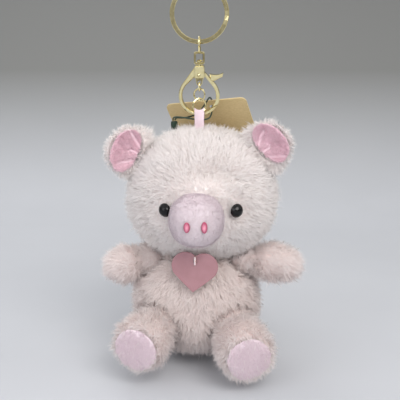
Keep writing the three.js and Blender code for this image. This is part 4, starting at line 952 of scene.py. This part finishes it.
for number, side in enumerate(("left", "right")):
    body, lining = "ear_" + side, "ear_lining_" + side
    comb, crease, length, cup = earSettings(body, lining)
    pile = {**earPile, "seed": earPile["seed"] + number, "comb": comb}
    plush("ear" + side.title() + "Plush", body, body, earSkin, pile, whiteBacking, whiteFibre, length, cup)
    pile = {**liningPile, "seed": liningPile["seed"] + number, "comb": comb}
    plush(
        "earLining" + side.title(), lining, body, liningSkin, pile, brightBacking, brightFibre,
        shapeAt=crease,
    )
    pad, leg = "foot_pad_" + side, "leg_" + side
    plush("footPad" + side.title(), pad, leg, shortSkin, shortPile, lilacBacking, lilacFibre)

# The snout's pile lies forwards and down, so that its parting is hidden under the head's pile
snoutSkin = {**shortSkin, "rounds": 30}
snoutPile = {**shortPile, "length": 1.1 * mm, "stray": 0.12, "comb": steady([0.0, -0.5, -0.8])}
plush("snoutPlush", "snout", "head", snoutSkin, snoutPile, shellBacking, shellFibre)
tailPile = {**shortPile, "length": 1.4 * mm}
plush("tailPlush", "tail", "torso", shortSkin, tailPile, lilacBacking, lilacFibre)


# Nostrils: satin stitch, raised rows of thread laid side to side
stitches = {
    "rows": 11, "proud": 0.5 * mm, "threadRelief": 0.12 * mm, "threadWiden": 0.03, "growWide": 1.5,
    "growHigh": 1.6, "around": 48, "upwards": 64,
}


def nostrilStitches(side, material):
    low, high = (np.array(v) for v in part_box("nostril_" + side))
    middle, half = (low + high) / 2, (high - low) / 2
    shape = bmesh.new()
    bmesh.ops.create_uvsphere(shape, u_segments=stitches["around"], v_segments=stitches["upwards"], radius=1)
    for v in shape.verts:
        thread = abs(math.sin(v.co.z * math.pi * stitches["rows"] / 2))
        bulge = 1 + stitches["threadRelief"] / half[1] * thread
        v.co.x *= half[0] * stitches["growWide"] * (1 + stitches["threadWiden"] * thread)
        v.co.z *= half[2] * stitches["growHigh"]
        v.co.y *= (half[1] + stitches["proud"]) * bulge
    bmesh.ops.translate(shape, vec=middle, verts=shape.verts)
    made = fromBmesh("nostrilStitch" + side.title(), shape, material)
    # How far each point lies from the nostril's middle, which sets the thread's painted highlight in the
    # middle and painted shade at the rim
    grown = half[[0, 2]] * [stitches["growWide"], stitches["growHigh"]]
    away = (pointsOf(made.data) - middle)[:, [0, 2]] / grown
    setAttribute(made.data, "stitchRim", np.linalg.norm(away, axis=1))
    return made


stitch = stitchThread()
for side in ("left", "right"):
    piece = nostrilStitches(side, stitch)
    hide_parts("nostril_" + side)
    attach(piece, "head")
print("nostrils made")


# Floor that curves up into a wall behind: an edge extruded back and then round
stage = {
    "floor": -0.1845, "front": -1.2, "wall": 0.6, "bend": 0.3, "height": 1.6, "half": 1.8, "steps": 14,
    "mottling": 0.12, "greyFrom": 0.14,
}


# Matt studio paper with the faintest mottling, pale on the floor and greyer up the wall
def stagePaper():
    material, tree, where = newMaterial("mattStudioPaper")
    cloud = addNode(tree, "ShaderNodeTexNoise", {
        "Vector": where, "Scale": 1 / stage["mottling"], "Detail": 3,
    })
    floor = addNode(tree, "ShaderNodeMix", {
        mixShare: cloud, mixFirst: tint("c3c6cb"), mixSecond: tint("cdd0d5"),
    }, mixResult, data_type="RGBA")
    height = addNode(tree, "ShaderNodeSeparateXYZ", {"Vector": where}, output="Z")
    risen = addNode(tree, "ShaderNodeMapRange", {
        "Value": height, "From Min": stage["floor"], "From Max": stage["floor"] + stage["greyFrom"],
    })
    colour = addNode(tree, "ShaderNodeMix", {
        mixShare: risen, mixFirst: floor, mixSecond: tint("858684"),
    }, mixResult, data_type="RGBA")
    paper = addNode(tree, "ShaderNodeBsdfPrincipled", {"Base Color": colour, "Roughness": 1})
    return finished(material, paper)


def backdrop():
    shape = bmesh.new()
    ends = [shape.verts.new((x, stage["front"], stage["floor"])) for x in (-stage["half"], stage["half"])]
    edge = shape.edges.new(ends)
    bend, back = stage["bend"], stage["wall"] - stage["bend"]
    places = [(back, stage["floor"])]
    for k in range(1, stage["steps"] + 1):
        angle = math.pi / 2 * k / stage["steps"]
        places.append((back + bend * math.sin(angle), stage["floor"] + bend * (1 - math.cos(angle))))
    places.append((stage["wall"], stage["floor"] + stage["height"]))
    for y, z in places:
        grown = bmesh.ops.extrude_edge_only(shape, edges=[edge])["geom"]
        edge = next(g for g in grown if isinstance(g, bmesh.types.BMEdge))
        for v in edge.verts:
            v.co.y, v.co.z = y, z
    return fromBmesh("backdrop", shape, stagePaper())


backdrop()

# Soft studio light: a large key at the camera's right, a fill at its left and a softer light from behind, all
# turned to the middle of the charm
lightAim = Vector((0, 0, -0.11))
lights = {
    "key": {"place": (0.34, -0.6, 0.42), "size": 0.55, "power": 3.8, "colour": "fffbf8"},
    "fill": {"place": (-0.5, -0.65, 0.12), "size": 0.6, "power": 1.5, "colour": "f8f9ff"},
    "back": {"place": (-0.2, 0.5, 0.45), "size": 0.5, "power": 1.8, "colour": "ffffff"},
}
for name, light in lights.items():
    data = bpy.data.lights.new(name, "AREA")
    data.shape = "DISK"
    data.size = light["size"]
    data.energy = light["power"]
    data.color = tint(light["colour"])[:3]
    made = addObject(name, data)
    made.location = light["place"]
    made.rotation_mode = "QUATERNION"
    made.rotation_quaternion = (lightAim - Vector(light["place"])).to_track_quat("-Z", "Y")

# The room: grey below and nearly white above
world = bpy.data.worlds.new("softRoom")
bpy.context.scene.world = world
world.use_nodes = True
sky = world.node_tree
sky.nodes.clear()
ray = addNode(sky, "ShaderNodeTexCoord", output="Generated")
rise = addNode(sky, "ShaderNodeSeparateXYZ", {"Vector": ray}, output="Z")
share = addNode(sky, "ShaderNodeMapRange", {"Value": rise, "From Min": -0.1, "From Max": 0.75})
colour = addNode(sky, "ShaderNodeMix", {
    mixShare: share, mixFirst: tint("838283"), mixSecond: tint("fdfcfd"),
}, mixResult, data_type="RGBA")
background = addNode(sky, "ShaderNodeBackground", {"Color": colour, "Strength": 0.95})
addNode(sky, "ShaderNodeOutputWorld", {"Surface": background})
bpy.context.scene.view_settings.view_transform = "Standard"
print("stage made")
